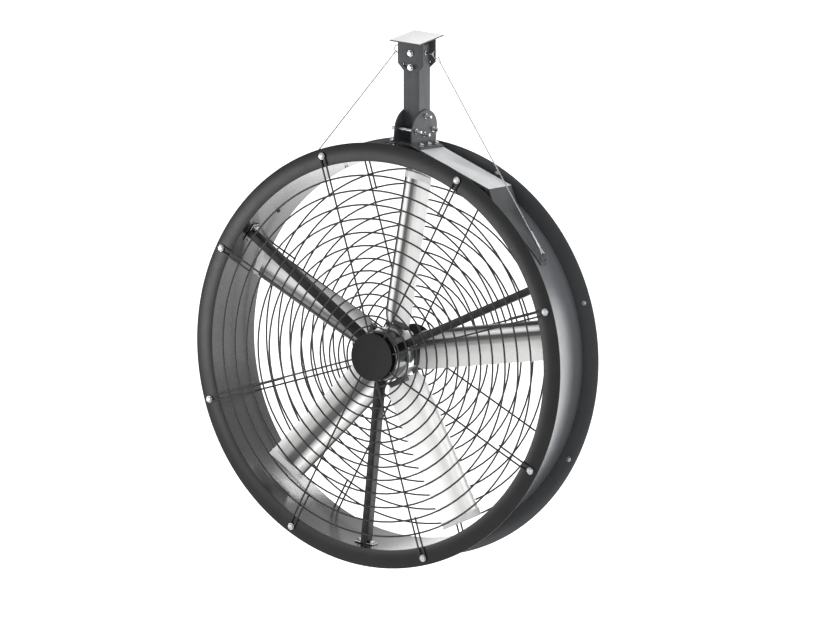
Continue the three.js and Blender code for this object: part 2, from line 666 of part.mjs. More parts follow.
keepOnDrum('front_guard', guardBody(1, []), LOOKS.black);
keepOnDrum('rear_guard', moved(guardBody(-1, [centrePlate(0, WELD_DEPTH)]), toRear), LOOKS.black);
keepOnDrum('front_centre_plate', centrePlate(SEAT_GAP, 0), LOOKS.black);

const guardBolt = moved(
  boltY(plateFront - SEAT_GAP, -HALF_DEPTH + FLANGE_T + SEAT_GAP, GUARD_BOLT, SMALL_SIDES),
  shifted(0, 0, GUARD_BOLT_RING_R),
);
spokeAngles.forEach((angle, i) => {
  const body = roundDrum(guardBolt, angle);
  keepOnDrum(`front_guard_bolt_${i + 1}`, body, LOOKS.zinc);
  keepOnDrum(`rear_guard_bolt_${i + 1}`, moved(body, toRear), LOOKS.zinc);
});

// ---- struts and motor -------------------------------------------------------------------
/** Box-section strut at the drum's top, with a foot against the wall. */
function strutBody() {
  const footTop = Math.sqrt(WALL_FLAT_R ** 2 - (STRUT_FOOT_W / 2) ** 2) - SEAT_GAP;
  const inner = MOTOR_R + SEAT_GAP;
  const w = STRUT_W / 2;
  const front = STRUT_FRONT_V;
  const rear = STRUT_FRONT_V + STRUT_D;
  const tube = cut(block(-w, w, front, rear, inner, footTop - STRUT_FOOT_T / 2), [
    block(-w + STRUT_WALL, w - STRUT_WALL, front + STRUT_WALL, rear - STRUT_WALL, 0, footTop - STRUT_FOOT_T),
  ]);
  const half = STRUT_FOOT_W / 2;
  return join([tube, block(-half, half, front, rear, footTop - STRUT_FOOT_T, footTop)]);
}

STRUTS_DEG.forEach((angle, i) => {
  keepOnDrum(`strut_${i + 1}`, roundDrum(strutBody(), angle), LOOKS.black);
});

keepOnDrum('motor_housing', turned([
  [0, MOTOR_FRONT_V],
  [MOTOR_R - MOTOR_CHAMFER, MOTOR_FRONT_V],
  [MOTOR_R, MOTOR_FRONT_V + MOTOR_CHAMFER],
  [MOTOR_R, MOTOR_REAR_V],
  [SHAFT_R, MOTOR_REAR_V],
  [SHAFT_R, HUB_REAR_V + SHAFT_END],
  [0, HUB_REAR_V + SHAFT_END],
], ROUND_SIDES), LOOKS.motor);

// ---- rotor ------------------------------------------------------------------------------
/** Blade section: [along the chord from the nose, towards the intake side]. */
const BLADE_SECTION = [
  [0, 2], [3, -4], [10, -8], [22, -9.5], [32, -7.5], [42, -3.5], [58, -0.5], [90, 1], [BLADE_CHORD, 0],
  [BLADE_CHORD, 2], [118, 8], [88, 13.5], [60, 16.5], [36, 16.5], [16, 13], [5, 8],
];
const SPAR_SECTION = [14, 36, -3, 8];

/** From blade axes (chord X, thickness Y, span Z) to the drum's top. */
const bladeFrame = new THREE.Matrix4()
  .multiply(shifted(0, BLADE_MID_V, 0))
  .multiply(turnedZ(-rad(BLADE_PITCH_DEG)))
  .multiply(shifted(-BLADE_CHORD / 2, 0, 0));

const SECTION_MID_Y = 4;

/** Grows a closed section outwards by a margin. */
function grown(section, margin) {
  const half = BLADE_CHORD / 2;
  const spread = 1 + margin / half;
  return section.map(([x, y]) => [half + (x - half) * spread, y + Math.sign(y - SECTION_MID_Y) * margin]);
}

const [sparX0, sparX1, sparY0, sparY1] = SPAR_SECTION;
const bladeBody = moved(cut(
  moved(prism(BLADE_SECTION, BLADE_TIP_R - BLADE_ROOT_R), shifted(0, 0, BLADE_ROOT_R)),
  [block(sparX0, sparX1, sparY0, sparY1, BLADE_ROOT_R - CAP_T, BLADE_TIP_R + CAP_T)],
), bladeFrame);
const capBody = moved(
  moved(prism(grown(BLADE_SECTION, CAP_MARGIN), CAP_T), shifted(0, 0, BLADE_TIP_R + SEAT_GAP)),
  bladeFrame,
);
const sparBody = moved(block(
  sparX0 + SEAT_GAP,
  sparX1 - SEAT_GAP,
  sparY0 + SEAT_GAP,
  sparY1 - SEAT_GAP,
  SPAR_IN_R,
  SPAR_OUT_R,
), bladeFrame);

const bladeAngles = evenAngles(BLADE_COUNT, BLADE_FIRST_DEG);
const hubBody = cut(turned([
  [0, HUB_FRONT_V],
  [HUB_R, HUB_FRONT_V],
  [HUB_R, HUB_REAR_V - HUB_CHAMFER],
  [HUB_R - HUB_CHAMFER, HUB_REAR_V],
  [0, HUB_REAR_V],
], ROUND_SIDES), [rodY(SHAFT_R + SIDE_GAP, HUB_FRONT_V - CAP_T, HUB_REAR_V + CAP_T, ROUND_SIDES)]);
const spars = bladeAngles.map((angle) => roundDrum(sparBody, angle));
keepOnDrum('rotor_hub', join([hubBody, ...spars]), LOOKS.motor);
bladeAngles.forEach((angle, i) => {
  keepOnDrum(`blade_${i + 1}`, roundDrum(bladeBody, angle), LOOKS.blade);
  keepOnDrum(`blade_cap_${i + 1}`, roundDrum(capBody, angle), LOOKS.cap);
});

// ---- stays ------------------------------------------------------------------------------
const anchorRise = ANCHOR_EYE_R + EYE_WIRE_R + ANCHOR_STANDOFF;
const strapOuterR = WALL_R + SEAT_GAP + SADDLE_T;
const anchorR = strapOuterR + anchorRise;

/** Stay anchor at the drum's top, its shank through the strap and the wall. */
function anchorBody() {
  const far = anchorR - WALL_FLAT_R + SEAT_GAP;
  const bolt = eyeBolt(ANCHOR_EYE_R, far + PLATE_T + EYE_END, [-far - PLATE_T]);
  return moved(moved(bolt, turnedX(Math.PI / 2)), shifted(0, YOKE_SHIFT, anchorR));
}

/** Stay up +Z from its lower eye's wire at the origin: two end loops and a taut rope. */
function stayBody(length) {
  const seat = LOOP_R - (ROPE_R + EYE_WIRE_R) * Math.SQRT1_2 - SEAT_GAP;
  const loop = (z, end) => {
    const path = [];
    const steps = 8;
    for (let i = 0; i <= steps; i += 1) {
      const angle = Math.PI * i / steps;
      path.push(new THREE.Vector3(LOOP_R * Math.cos(angle), 0, z - end * LOOP_R * Math.sin(angle)));
    }
    const throat = (offset) => new THREE.Vector3(offset, 0, z + end * LOOP_LENGTH);
    return wireAlong([throat(ROPE_END_OFFSET), ...path, throat(-ROPE_END_OFFSET)], ROPE_R);
  };
  const ferrule = (z0, z1) => moved(rodY(FERRULE_R, z0, z1, SMALL_SIDES), turnedX(Math.PI / 2));
  const lowerEnd = seat + LOOP_LENGTH - FERRULE_LAP;
  const upperEnd = length - LOOP_LENGTH + FERRULE_LAP;
  return join([
    loop(seat, 1),
    loop(length, -1),
    moved(rodY(ROPE_R, LOOP_LENGTH, length - LOOP_LENGTH, SMALL_SIDES), turnedX(Math.PI / 2)),
    ferrule(lowerEnd, lowerEnd + LOWER_FERRULE),
    ferrule(upperEnd - UPPER_FERRULE, upperEnd),
  ]);
}

const anchorEye = new THREE.Vector3(
  anchorR * Math.sin(rad(ANCHOR_DEG)),
  YOKE_SHIFT,
  anchorR * Math.cos(rad(ANCHOR_DEG)),
).applyMatrix4(DRUM_FRAME);
const postEye = new THREE.Vector3(POST_EYE_X, 0, -SLOPE_PIVOT_DROP - POST_EYE_BELOW);
const stayAxis = postEye.clone().sub(anchorEye).normalize();
const eyeFlat = Math.cos(Math.PI / EYE_SIDES);
const lowerHold = anchorEye.clone().addScaledVector(stayAxis, ANCHOR_EYE_R * eyeFlat);
const upperHold = postEye.clone().addScaledVector(stayAxis, -POST_EYE_R * eyeFlat);
const loopSide = new THREE.Vector3(0, 1, 0).projectOnPlane(stayAxis).normalize();
const stayFrame = new THREE.Matrix4().makeBasis(
  loopSide,
  new THREE.Vector3().crossVectors(stayAxis, loopSide),
  stayAxis,
).setPosition(lowerHold);
const rightStay = moved(stayBody(lowerHold.distanceTo(upperHold)), stayFrame);

keepOnDrum('right_stay_anchor', roundDrum(anchorBody(), ANCHOR_DEG), LOOKS.zinc);
keepOnDrum('left_stay_anchor', roundDrum(anchorBody(), -ANCHOR_DEG), LOOKS.zinc);
keep('right_stay', rightStay, LOOKS.rope);
keep('left_stay', moved(rightStay, mirrorX), LOOKS.rope);

// ---- assembly ---------------------------------------------------------------------------
const fan = new THREE.Group();
fan.name = 'drum_fan';
for (const { name, body, look } of parts) {
  const mesh = new THREE.Mesh(surface(body), new THREE.MeshStandardMaterial(look));
  mesh.name = name;
  fan.add(mesh);
}

export default fan;
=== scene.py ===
"""Ceiling-hung drum fan, dressed over its fixed frame. Metres, +Z up, front towards -Y."""

import enum
import json
import logging
import math
from collections.abc import Callable, Sequence
from dataclasses import dataclass, field

import bmesh
import bpy
from mathutils import Matrix, Vector


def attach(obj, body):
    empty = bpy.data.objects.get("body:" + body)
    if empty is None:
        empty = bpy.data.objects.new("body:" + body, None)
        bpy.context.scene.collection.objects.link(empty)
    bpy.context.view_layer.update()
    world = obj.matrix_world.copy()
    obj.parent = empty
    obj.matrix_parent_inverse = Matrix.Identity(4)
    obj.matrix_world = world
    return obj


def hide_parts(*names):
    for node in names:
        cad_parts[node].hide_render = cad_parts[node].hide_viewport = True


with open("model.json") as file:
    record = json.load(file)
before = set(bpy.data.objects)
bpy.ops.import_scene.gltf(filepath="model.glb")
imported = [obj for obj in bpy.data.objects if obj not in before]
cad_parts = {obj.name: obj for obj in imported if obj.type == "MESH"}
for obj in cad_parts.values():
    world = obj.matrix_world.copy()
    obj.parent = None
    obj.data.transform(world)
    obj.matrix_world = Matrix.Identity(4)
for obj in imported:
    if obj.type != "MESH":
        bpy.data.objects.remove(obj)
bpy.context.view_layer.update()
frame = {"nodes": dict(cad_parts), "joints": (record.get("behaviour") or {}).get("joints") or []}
log = logging.getLogger("drum_fan")

Colour = tuple[float, float, float]
Point = tuple[float, float, float]
Piece = bpy.types.Object
Socket = bpy.types.NodeSocket

MM = 0.001
JOINTS = {joint["name"]: joint for joint in frame["joints"]}
SPIN = Vector(JOINTS["rotor_spin"]["axis"])
TILT = Matrix.Rotation(math.atan2(SPIN.z, SPIN.y), 4, "X")
DRUM = Matrix.Translation(JOINTS["rotor_spin"]["pos_m"]) @ TILT
"""From the drum's own frame (origin on its axis at mid depth, axis along +Y) to the row frame."""
TILT_PIVOT = Vector(JOINTS["drum_tilt"]["pos_m"])
SLOPE_PIVOT = Vector(JOINTS["slope_swing"]["pos_m"])
YOKE = DRUM.inverted() @ TILT_PIVOT
"""The tilt pivot in the drum's frame."""

# Sizes that more than one sub-assembly uses; angles run from the drum's top.
FLANGE_R = 750 * MM
WALL_R = FLANGE_R - 63 * MM
WALL_T = 2.5 * MM
HALF_DEPTH = 135.5 * MM
BOLT_RING_R = FLANGE_R - 26 * MM
POST_HALF = 32 * MM
PLATE_R = 84 * MM
SPOKES = 8
FIRST_SPOKE_DEG = 22.5
ANCHOR_DEG = 52.4
STRAP_START_DEG = 35.4
SEAT_GAP = 0.3 * MM


# ---- finishes ------------------------------------------------------------------------------
class Nodes:
    """A material's node tree, with short ways to add and link nodes."""

    def __init__(self, name: str) -> None:
        """Starts a material with a Principled shader and an output.

        Args:
            name: The material's name.
        """
        self.material = bpy.data.materials.new(name)
        self.material.use_nodes = True
        self.tree = self.material.node_tree
        self.shader = self.tree.nodes["Principled BSDF"]

    def add(self, kind: str, **settings: object) -> bpy.types.Node:
        """Adds a node.

        Args:
            kind: The node's type name.
            settings: Attributes set on it.

        Returns:
            The new node.
        """
        node = self.tree.nodes.new(kind)
        for key, value in settings.items():
            setattr(node, key, value)
        return node

    def link(self, source: Socket, target: Socket) -> None:
        """Links two sockets."""
        self.tree.links.new(source, target)

    def coords(self, kind: str = "Object", scale: Point = (1, 1, 1)) -> Socket:
        """Gives scaled coordinates.

        Args:
            kind: The Texture Coordinate output, Object or UV.
            scale: Scale along each axis.

        Returns:
            The vector socket.
        """
        source = self.add("ShaderNodeTexCoord")
        mapping = self.add("ShaderNodeMapping")
        mapping.inputs["Scale"].default_value = scale
        self.link(source.outputs[kind], mapping.inputs["Vector"])
        return mapping.outputs["Vector"]

    def noise(self, vector: Socket, scale: float, detail: float = 3, rough: float = 0.5) -> Socket:
        """Adds a noise texture.

        Args:
            vector: Where it reads its place.
            scale: Its scale, in patches per metre.
            detail: Its octaves.
            rough: How much the fine octaves count.

        Returns:
            The factor's socket.
        """
        node = self.add("ShaderNodeTexNoise")
        node.inputs["Scale"].default_value = scale
        node.inputs["Detail"].default_value = detail
        node.inputs["Roughness"].default_value = rough
        self.link(vector, node.inputs["Vector"])
        return node.outputs["Fac"]

    def spread(self, value: Socket, low: float, high: float, a: float = 0.3, b: float = 0.7) -> Socket:
        """Maps a value from a..b to low..high.

        Args:
            value: The value's socket.
            low: The result at a.
            high: The result at b.
            a: Start of the value's range.
            b: End of the value's range.

        Returns:
            The result's socket.
        """
        node = self.add("ShaderNodeMapRange")
        node.inputs["From Min"].default_value = a
        node.inputs["From Max"].default_value = b
        node.inputs["To Min"].default_value = low
        node.inputs["To Max"].default_value = high
        self.link(value, node.inputs["Value"])
        return node.outputs["Result"]

    def blend(self, factor: Socket, first: Colour, second: Colour) -> Socket:
        """Mixes two colours.

        Args:
            factor: The share of the second colour.
            first: The first colour.
            second: The second colour.

        Returns:
            The colour's socket.
        """
        ramp = self.add("ShaderNodeValToRGB")
        ramp.color_ramp.elements[0].color = (*first, 1)
        ramp.color_ramp.elements[1].color = (*second, 1)
        self.link(factor, ramp.inputs["Fac"])
        return ramp.outputs["Color"]

    def bump(self, height: Socket, strength: float, distance: float) -> None:
        """Runs a height into the shader's normal.

        Args:
            height: The height's socket.
            strength: Bump strength.
            distance: Height of a full step, in metres.
        """
        node = self.add("ShaderNodeBump")
        node.inputs["Strength"].default_value = strength
        node.inputs["Distance"].default_value = distance
        self.link(height, node.inputs["Height"])
        self.feed("Normal", node.outputs["Normal"])

    def feed(self, name: str, source: Socket) -> None:
        """Links a socket to one of the shader's inputs."""
        self.link(source, self.shader.inputs[name])

    def preset(self, **values: float) -> None:
        """Sets plain numbers on the shader's own sockets, by socket name with _ for a space."""
        for key, value in values.items():
            self.shader.inputs[key.replace("_", " ")].default_value = value


@dataclass(frozen=True)
class PowderCoat:
    """Baked powder paint: fine orange peel, faint mottling and a soft clear gloss."""

    name: str
    colour: Colour
    roughness: float = 0.42
    coat: float = 0.0
    peel: float = 0.35
    dust: float = 1.25
    specular: float = 0.5

    def make(self) -> bpy.types.Material:
        """Builds the paint's material.

        Returns:
            The material.
        """
        nodes = Nodes(self.name)
        place = nodes.coords()
        mottle = nodes.spread(nodes.noise(place, scale=14, detail=4, rough=0.6), 0, 1)
        lighter = tuple(min(1.0, c * self.dust + 0.002) for c in self.colour)
        nodes.feed("Base Color", nodes.blend(mottle, self.colour, lighter))
        sheen = nodes.noise(place, scale=45)
        nodes.feed("Roughness", nodes.spread(sheen, self.roughness - 0.02, self.roughness + 0.03))
        nodes.preset(Coat_Weight=self.coat, Coat_Roughness=0.22, Specular_IOR_Level=self.specular)
        nodes.bump(nodes.noise(place, scale=950, detail=2), self.peel, 0.06 * MM)
        return nodes.material


@dataclass(frozen=True)
class ZincPlate:
    """Bright zinc plating: faint crystal patches and a slightly uneven shine."""

    name: str
    colour: Colour = (0.80, 0.81, 0.83)
    roughness: float = 0.28

    def make(self) -> bpy.types.Material:
        """Builds the plating's material.

        Returns:
            The material.
        """
        nodes = Nodes(self.name)
        place = nodes.coords()
        cells = nodes.add("ShaderNodeTexVoronoi")
        cells.inputs["Scale"].default_value = 260
        nodes.link(place, cells.inputs["Vector"])
        darker = tuple(c * 0.84 for c in self.colour)
        crystals = nodes.spread(cells.outputs["Distance"], 0, 1, 0, 0.8)
        nodes.feed("Base Color", nodes.blend(crystals, self.colour, darker))
        sheen = nodes.noise(place, scale=320)
        nodes.feed("Roughness", nodes.spread(sheen, self.roughness - 0.06, self.roughness + 0.12))
        nodes.preset(Metallic=1.0)
        nodes.bump(nodes.noise(place, scale=1400, detail=2), 0.2, 0.04 * MM)
        return nodes.material


@dataclass(frozen=True)
class MillBlade:
    """Extruded blade alloy: fine lines along the span, and a dark band behind the nose that is a painted
    reflection of dark surroundings.

    Each of its tones is a share of the chord from the nose and the share of the colour left there; together
    they paint that reflection's dark and light stretches.
    """

    name: str
    colour: Colour = (0.80, 0.80, 0.79)
    tones: tuple[tuple[float, float], ...] = (
        (0.0, 0.72), (0.025, 0.58), (0.04, 0.26), (0.065, 0.05), (0.14, 0.08), (0.22, 0.36),
        (0.32, 0.80), (0.45, 1.0), (1.0, 1.0),
    )

    def make(self) -> bpy.types.Material:
        """Builds the alloy's material; UV runs along the chord (U) and the span (V, metres).

        Returns:
            The material.
        """
        nodes = Nodes(self.name)
        grain = nodes.noise(nodes.coords("UV", (1, 0.02, 1)), scale=160, detail=4, rough=0.65)
        lines = nodes.noise(nodes.coords("UV", (1, 0.006, 1)), scale=46, detail=2)
        split = nodes.add("ShaderNodeSeparateXYZ")
        nodes.link(nodes.coords("UV"), split.inputs[0])
        # painted reflection: a ramp across the chord darkens and lightens the colour where the blade would
        # reflect dark and bright surroundings
        painted_reflection_band = nodes.add("ShaderNodeValToRGB")
        painted_reflection_band.color_ramp.interpolation = "EASE"
        stops = painted_reflection_band.color_ramp.elements
        while len(stops) < len(self.tones):
            stops.new(0.5)
        for stop, (place, tone) in zip(stops, self.tones):
            stop.position = place
            stop.color = (*(c * tone for c in self.colour), 1)
        nodes.link(split.outputs["X"], painted_reflection_band.inputs["Fac"])
        lined = nodes.add("ShaderNodeMix", data_type="RGBA", blend_type="MULTIPLY")
        lined.inputs["Factor"].default_value = 1.0
        nodes.link(painted_reflection_band.outputs["Color"], lined.inputs["A"])
        streaks = nodes.blend(nodes.spread(grain, 0, 1), (0.90, 0.90, 0.90), (1, 1, 1))
        nodes.link(streaks, lined.inputs["B"])
        nodes.feed("Base Color", lined.outputs["Result"])
        nodes.feed("Roughness", nodes.spread(lines, 0.38, 0.52))
        nodes.preset(Metallic=0.45, Anisotropic=0.3)
        nodes.bump(grain, 0.12, 0.05 * MM)
        return nodes.material


@dataclass(frozen=True)
class Moulding:
    """Moulded plastic: fine spark texture and a faint tone drift."""

    name: str
    colour: Colour
    roughness: float = 0.45

    def make(self) -> bpy.types.Material:
        """Builds the plastic's material.

        Returns:
            The material.
        """
        nodes = Nodes(self.name)
        place = nodes.coords()
        drift = nodes.spread(nodes.noise(place, scale=22), 0, 1)
        darker = tuple(c * 0.90 for c in self.colour)
        nodes.feed("Base Color", nodes.blend(drift, darker, self.colour))
        sheen = nodes.noise(place, scale=90)
        nodes.feed("Roughness", nodes.spread(sheen, self.roughness - 0.05, self.roughness + 0.08))
        nodes.bump(nodes.noise(place, scale=1800, detail=1), 0.25, 0.04 * MM)
        return nodes.material


@dataclass(frozen=True)
class Casting:
    """Enamelled casting: glossy, with a shallow cast texture beneath."""

    name: str
    colour: Colour
    metallic: float = 0.55
    roughness: float = 0.22
    texture: float = 0.3

    def make(self) -> bpy.types.Material:
        """Builds the casting's material.

        Returns:
            The material.
        """
        nodes = Nodes(self.name)
        place = nodes.coords()
        tone = nodes.spread(nodes.noise(place, scale=35, detail=4, rough=0.6), 0, 1)
        lighter = tuple(min(1.0, c * 1.35 + 0.01) for c in self.colour)
        nodes.feed("Base Color", nodes.blend(tone, self.colour, lighter))
        sheen = nodes.noise(place, scale=120)
        nodes.feed("Roughness", nodes.spread(sheen, self.roughness - 0.05, self.roughness + 0.1))
        nodes.preset(Metallic=self.metallic, Coat_Weight=0.3, Coat_Roughness=0.12)
        nodes.bump(nodes.noise(place, scale=420), self.texture, 0.12 * MM)
        return nodes.material


class Finish(enum.Enum):
    """The fan's finishes, each with the record's slot that it stands for."""

    BRACKET = ("bracket_paint", PowderCoat(
        "bracket_grey_coat", (0.022, 0.023, 0.025), roughness=0.58, specular=0.42))
    # Painted light: a much lighter copy of the bracket paint for the saddle's upward-sloping top, standing
    # in for the light that falls on it.
    SADDLE = ("bracket_paint", PowderCoat(
        "saddle_painted_light_coat", (0.34, 0.345, 0.355), roughness=0.38, coat=0.2, peel=0.15))
    # Painted light: a pale copy of the bracket paint for the plate's top face only, standing in for the
    # bright glancing light on it.
    PLATE_TOP = ("bracket_paint", PowderCoat(
        "plate_top_painted_light", (0.52, 0.52, 0.52), roughness=0.5, peel=0.25, dust=1.06))
    STRAP = ("bracket_paint", PowderCoat("strap_dark_coat", (0.022, 0.023, 0.025), peel=0.1))
    DRUM = ("drum_paint", PowderCoat(
        "drum_black_coat", (0.006, 0.0062, 0.0066), roughness=0.32, peel=0.08, specular=0.20))
    STRUT = ("drum_paint", PowderCoat(
        "strut_black_coat", (0.004, 0.0041, 0.0044), roughness=0.4, peel=0.2, specular=0.16))
    WALL = ("drum_paint", PowderCoat(
        "drum_wall_coat", (0.007, 0.0074, 0.0082), roughness=0.20, coat=0.24, peel=0.02, dust=1.1))
    # Painted light: the wall's outer face gets a paler copy of the drum paint, standing in for the light
    # from the right and behind.
    OUTER_WALL = ("drum_paint", PowderCoat(
        "drum_outer_painted_light", (0.062, 0.064, 0.069), roughness=0.32, peel=0.01, dust=1.06))
    # Painted light: the rear flange's front-facing face gets a lighter copy of the drum paint for the light
    # it catches.
    REAR_FLANGE = ("drum_paint", PowderCoat(
        "rear_flange_painted_light", (0.028, 0.0295, 0.032), roughness=0.40, peel=0.1, dust=1.1))
    WIRE = ("drum_paint", PowderCoat(
        "guard_wire_coat", (0.007, 0.0072, 0.0077), roughness=0.36, peel=0.2, specular=0.3))
    BADGE = ("drum_paint", PowderCoat(
        "centre_plate_coat", (0.004, 0.0042, 0.0044), roughness=0.5, peel=0.5, specular=0.12))
    ZINC = ("zinc", ZincPlate("zinc_plate", (0.40, 0.405, 0.415), roughness=0.34))
    # Painted shade: a darker copy of the zinc plating, used on the left post eye and the anchor eyes.
    DULL_ZINC = ("zinc", ZincPlate("shaded_zinc_plate", (0.13, 0.132, 0.137), roughness=0.45))
    ROPE = ("stay_rope", ZincPlate("galvanised_rope", (0.42, 0.425, 0.44), roughness=0.38))
    # Each blade gets its own painted reflection band: BLADE_SOFT a faint dip, BLADE_WIDE a broad dark band,
    # BLADE_DEEP a dark nose and painted shade towards the trailing edge.
    BLADE = ("blade_alloy", MillBlade("blade_grain_painted_reflection"))
    BLADE_SOFT = ("blade_alloy", MillBlade("blade_soft_painted_reflection", tones=(
        (0.0, 0.90), (0.08, 0.84), (0.20, 0.78), (0.28, 0.86), (0.42, 1.0), (1.0, 1.0))))
    BLADE_WIDE = ("blade_alloy", MillBlade("blade_wide_painted_reflection", tones=(
        (0.0, 0.86), (0.10, 0.72), (0.16, 0.42), (0.21, 0.10), (0.32, 0.12), (0.43, 0.55),
        (0.56, 0.94), (1.0, 1.0))))
    BLADE_DEEP = ("blade_alloy", MillBlade("blade_deep_painted_reflection", tones=(
        (0.0, 0.12), (0.06, 0.08), (0.12, 0.30), (0.20, 0.74), (0.30, 0.86), (0.45, 0.60),
        (0.70, 0.50), (1.0, 0.42))))
    CAP = ("cap_plastic", Moulding("tip_cap_moulding", (0.66, 0.665, 0.67)))
    MOTOR = ("motor_paint", Casting(
        "motor_enamel", (0.035, 0.036, 0.038), metallic=0.85, roughness=0.2, texture=0.06))
    HUB = ("hub_casting", Casting(
        "hub_bright_casting", (0.33, 0.335, 0.345), metallic=0.9, roughness=0.33, texture=0.1))
    # Black for the spars; on the shoe at each blade's root it is painted shade on the blade.
    SHOE = ("hub_casting", Casting(
        "spar_black_and_painted_shade", (0.010, 0.010, 0.011), metallic=0.0, roughness=0.4))

    @property
    def slot(self) -> str:
        """The record's material slot."""
        return self.value[0]

    def material(self) -> bpy.types.Material:
        """The finish's material, made on first use."""
        style = self.value[1]
        return bpy.data.materials.get(style.name) or style.make()


# ---- bench: modelling by hand, in code --------------------------------------------------------
class Bench:
    """Short forms of the modelling operators, each of which leaves one finished object."""

    @staticmethod
    def clear() -> None:
        """Leaves edit mode and deselects everything."""
        if bpy.context.object and bpy.context.object.mode != "OBJECT":
            bpy.ops.object.mode_set(mode="OBJECT")
        for thing in bpy.context.selected_objects:
            thing.select_set(False)

    @staticmethod
    def pick(thing: Piece) -> None:
        """Makes one object the only one selected, and active.

        Args:
            thing: The object.
        """
        Bench.clear()
        thing.select_set(True)
        bpy.context.view_layer.objects.active = thing

    @staticmethod
    def select(thing: Piece, test: Callable[[bmesh.types.BMFace], bool]) -> int:
        """Selects the faces that pass a test, in edit mode.

        Args:
            thing: The object, which is put in edit mode.
            test: Says whether a face is wanted.

        Returns:
            How many faces were selected.
        """
        if thing.mode != "EDIT":
            Bench.pick(thing)
            bpy.ops.object.mode_set(mode="EDIT")
        bpy.ops.mesh.select_mode(type="FACE")
        mesh = bmesh.from_edit_mesh(thing.data)
        for face in mesh.faces:
            face.select_set(False)
        count = 0
        for face in mesh.faces:
            if test(face):
                face.select_set(True)
                count += 1
        bmesh.update_edit_mesh(thing.data)
        return count

    @staticmethod
    def edit_all(thing: Piece) -> None:
        """Puts one object in edit mode with all of its mesh selected.

        Args:
            thing: The object.
        """
        Bench.pick(thing)
        bpy.ops.object.mode_set(mode="EDIT")
        bpy.ops.mesh.select_all(action="SELECT")

    @staticmethod
    def extrude(move: Point) -> None:
        """Extrudes what is selected by a move."""
        bpy.ops.mesh.extrude_region_move(TRANSFORM_OT_translate={"value": move})

    @staticmethod
    def step_in(rim: float, lift: float) -> None:
        """Insets the selected faces by a rim and lifts them along +Z."""
        bpy.ops.mesh.inset(thickness=rim)
        bpy.ops.transform.translate(value=(0, 0, lift))

    @staticmethod
    def done(thing: Piece, outward: bool = False) -> Piece:
        """Leaves edit mode.

        Args:
            thing: The object.
            outward: Whether its doubles are merged and its faces turned outwards first.

        Returns:
            The same object.
        """
        if thing.mode != "EDIT":
            Bench.pick(thing)
            bpy.ops.object.mode_set(mode="EDIT")
        if outward:
            bpy.ops.mesh.select_all(action="SELECT")
            bpy.ops.mesh.remove_doubles(threshold=0.001 * MM)
            bpy.ops.mesh.normals_make_consistent(inside=False)
        bpy.ops.object.mode_set(mode="OBJECT")
        return thing

    @staticmethod
    def apply(thing: Piece, kind: str, **settings: object) -> Piece:
        """Adds a modifier and applies it.

        Args:
            thing: The object.
            kind: The modifier's type.
            settings: Attributes set on the modifier.

        Returns:
            The same object.
        """
        Bench.pick(thing)
        modifier = thing.modifiers.new("step", kind)
        for key, value in settings.items():
            setattr(modifier, key, value)
        bpy.ops.object.modifier_apply(modifier="step")
        return thing

    @staticmethod
    def bevel(thing: Piece, width: float, segments: int = 2, degrees: float = 30) -> Piece:
        """Rounds an object's edges that are sharper than an angle.

        Args:
            thing: The object.
            width: Width of the rounding.
            segments: Steps across it.
            degrees: The angle.

        Returns:
            The same object.
        """
        Bench.apply(thing, "BEVEL", width=width, segments=segments, limit_method="ANGLE",
                    angle_limit=math.radians(degrees))
        return thing

    @staticmethod
    def settle(thing: Piece, place: Matrix = Matrix()) -> Piece:
        """Puts an object's place into its mesh, then moves the mesh.

        Args:
            thing: The object.
            place: Where the mesh then goes.

        Returns:
            The same object, at the origin.
        """
        Bench.pick(thing)
        bpy.ops.object.transform_apply(location=True, rotation=True, scale=True)
        thing.data.transform(place)
        return thing

    @staticmethod
    def join(things: Sequence[Piece]) -> Piece:
        """Joins objects into the first.

        Args:
            things: The objects.

        Returns:
            The first, which now holds all of them.
        """
        Bench.clear()
        for thing in things:
            thing.select_set(True)
        bpy.context.view_layer.objects.active = things[0]
        if len(things) > 1:
            bpy.ops.object.join()
        return things[0]

    @staticmethod
    def twin(thing: Piece, place: Matrix) -> Piece:
        """Copies an object with its own mesh.

        Args:
            thing: The object.
            place: Where the copy's mesh goes; a mirror keeps its faces outwards.

        Returns:
            The copy.
        """
        other = thing.copy()
        other.data = thing.data.copy()
        other.data.transform(place)
        if place.determinant() < 0:
            other.data.flip_normals()
        bpy.context.scene.collection.objects.link(other)
        return other

    @staticmethod
    def smooth(thing: Piece, degrees: float = 35) -> Piece:
        """Shades an object smooth.

        Args:
            thing: The object.
            degrees: Edges sharper than this stay sharp.

        Returns:
            The same object.
        """
        Bench.pick(thing)
        bpy.ops.object.shade_smooth_by_angle(angle=math.radians(degrees))
        return thing

    @staticmethod
    def round_bar(radius: float, low: float, high: float, sides: int, bevel: float = 0) -> Piece:
        """Bar along +Z with its rims rounded.

        Args:
            radius: The bar's radius.
            low: Its lower end.
            high: Its upper end.
            sides: Number of sides.
            bevel: Rim radius, or 0 for a sharp rim.

        Returns:
            The bar.
        """
        Bench.clear()
        bpy.ops.mesh.primitive_cylinder_add(
            vertices=sides, radius=radius, depth=high - low, location=(0, 0, (low + high) / 2))
        bar = Bench.settle(bpy.context.object)
        if bevel:
            Bench.select(bar, lambda face: abs(face.normal.z) > 0.9)
            bpy.ops.mesh.bevel(offset=bevel, segments=3, affect="EDGES")
            Bench.done(bar)
        return bar

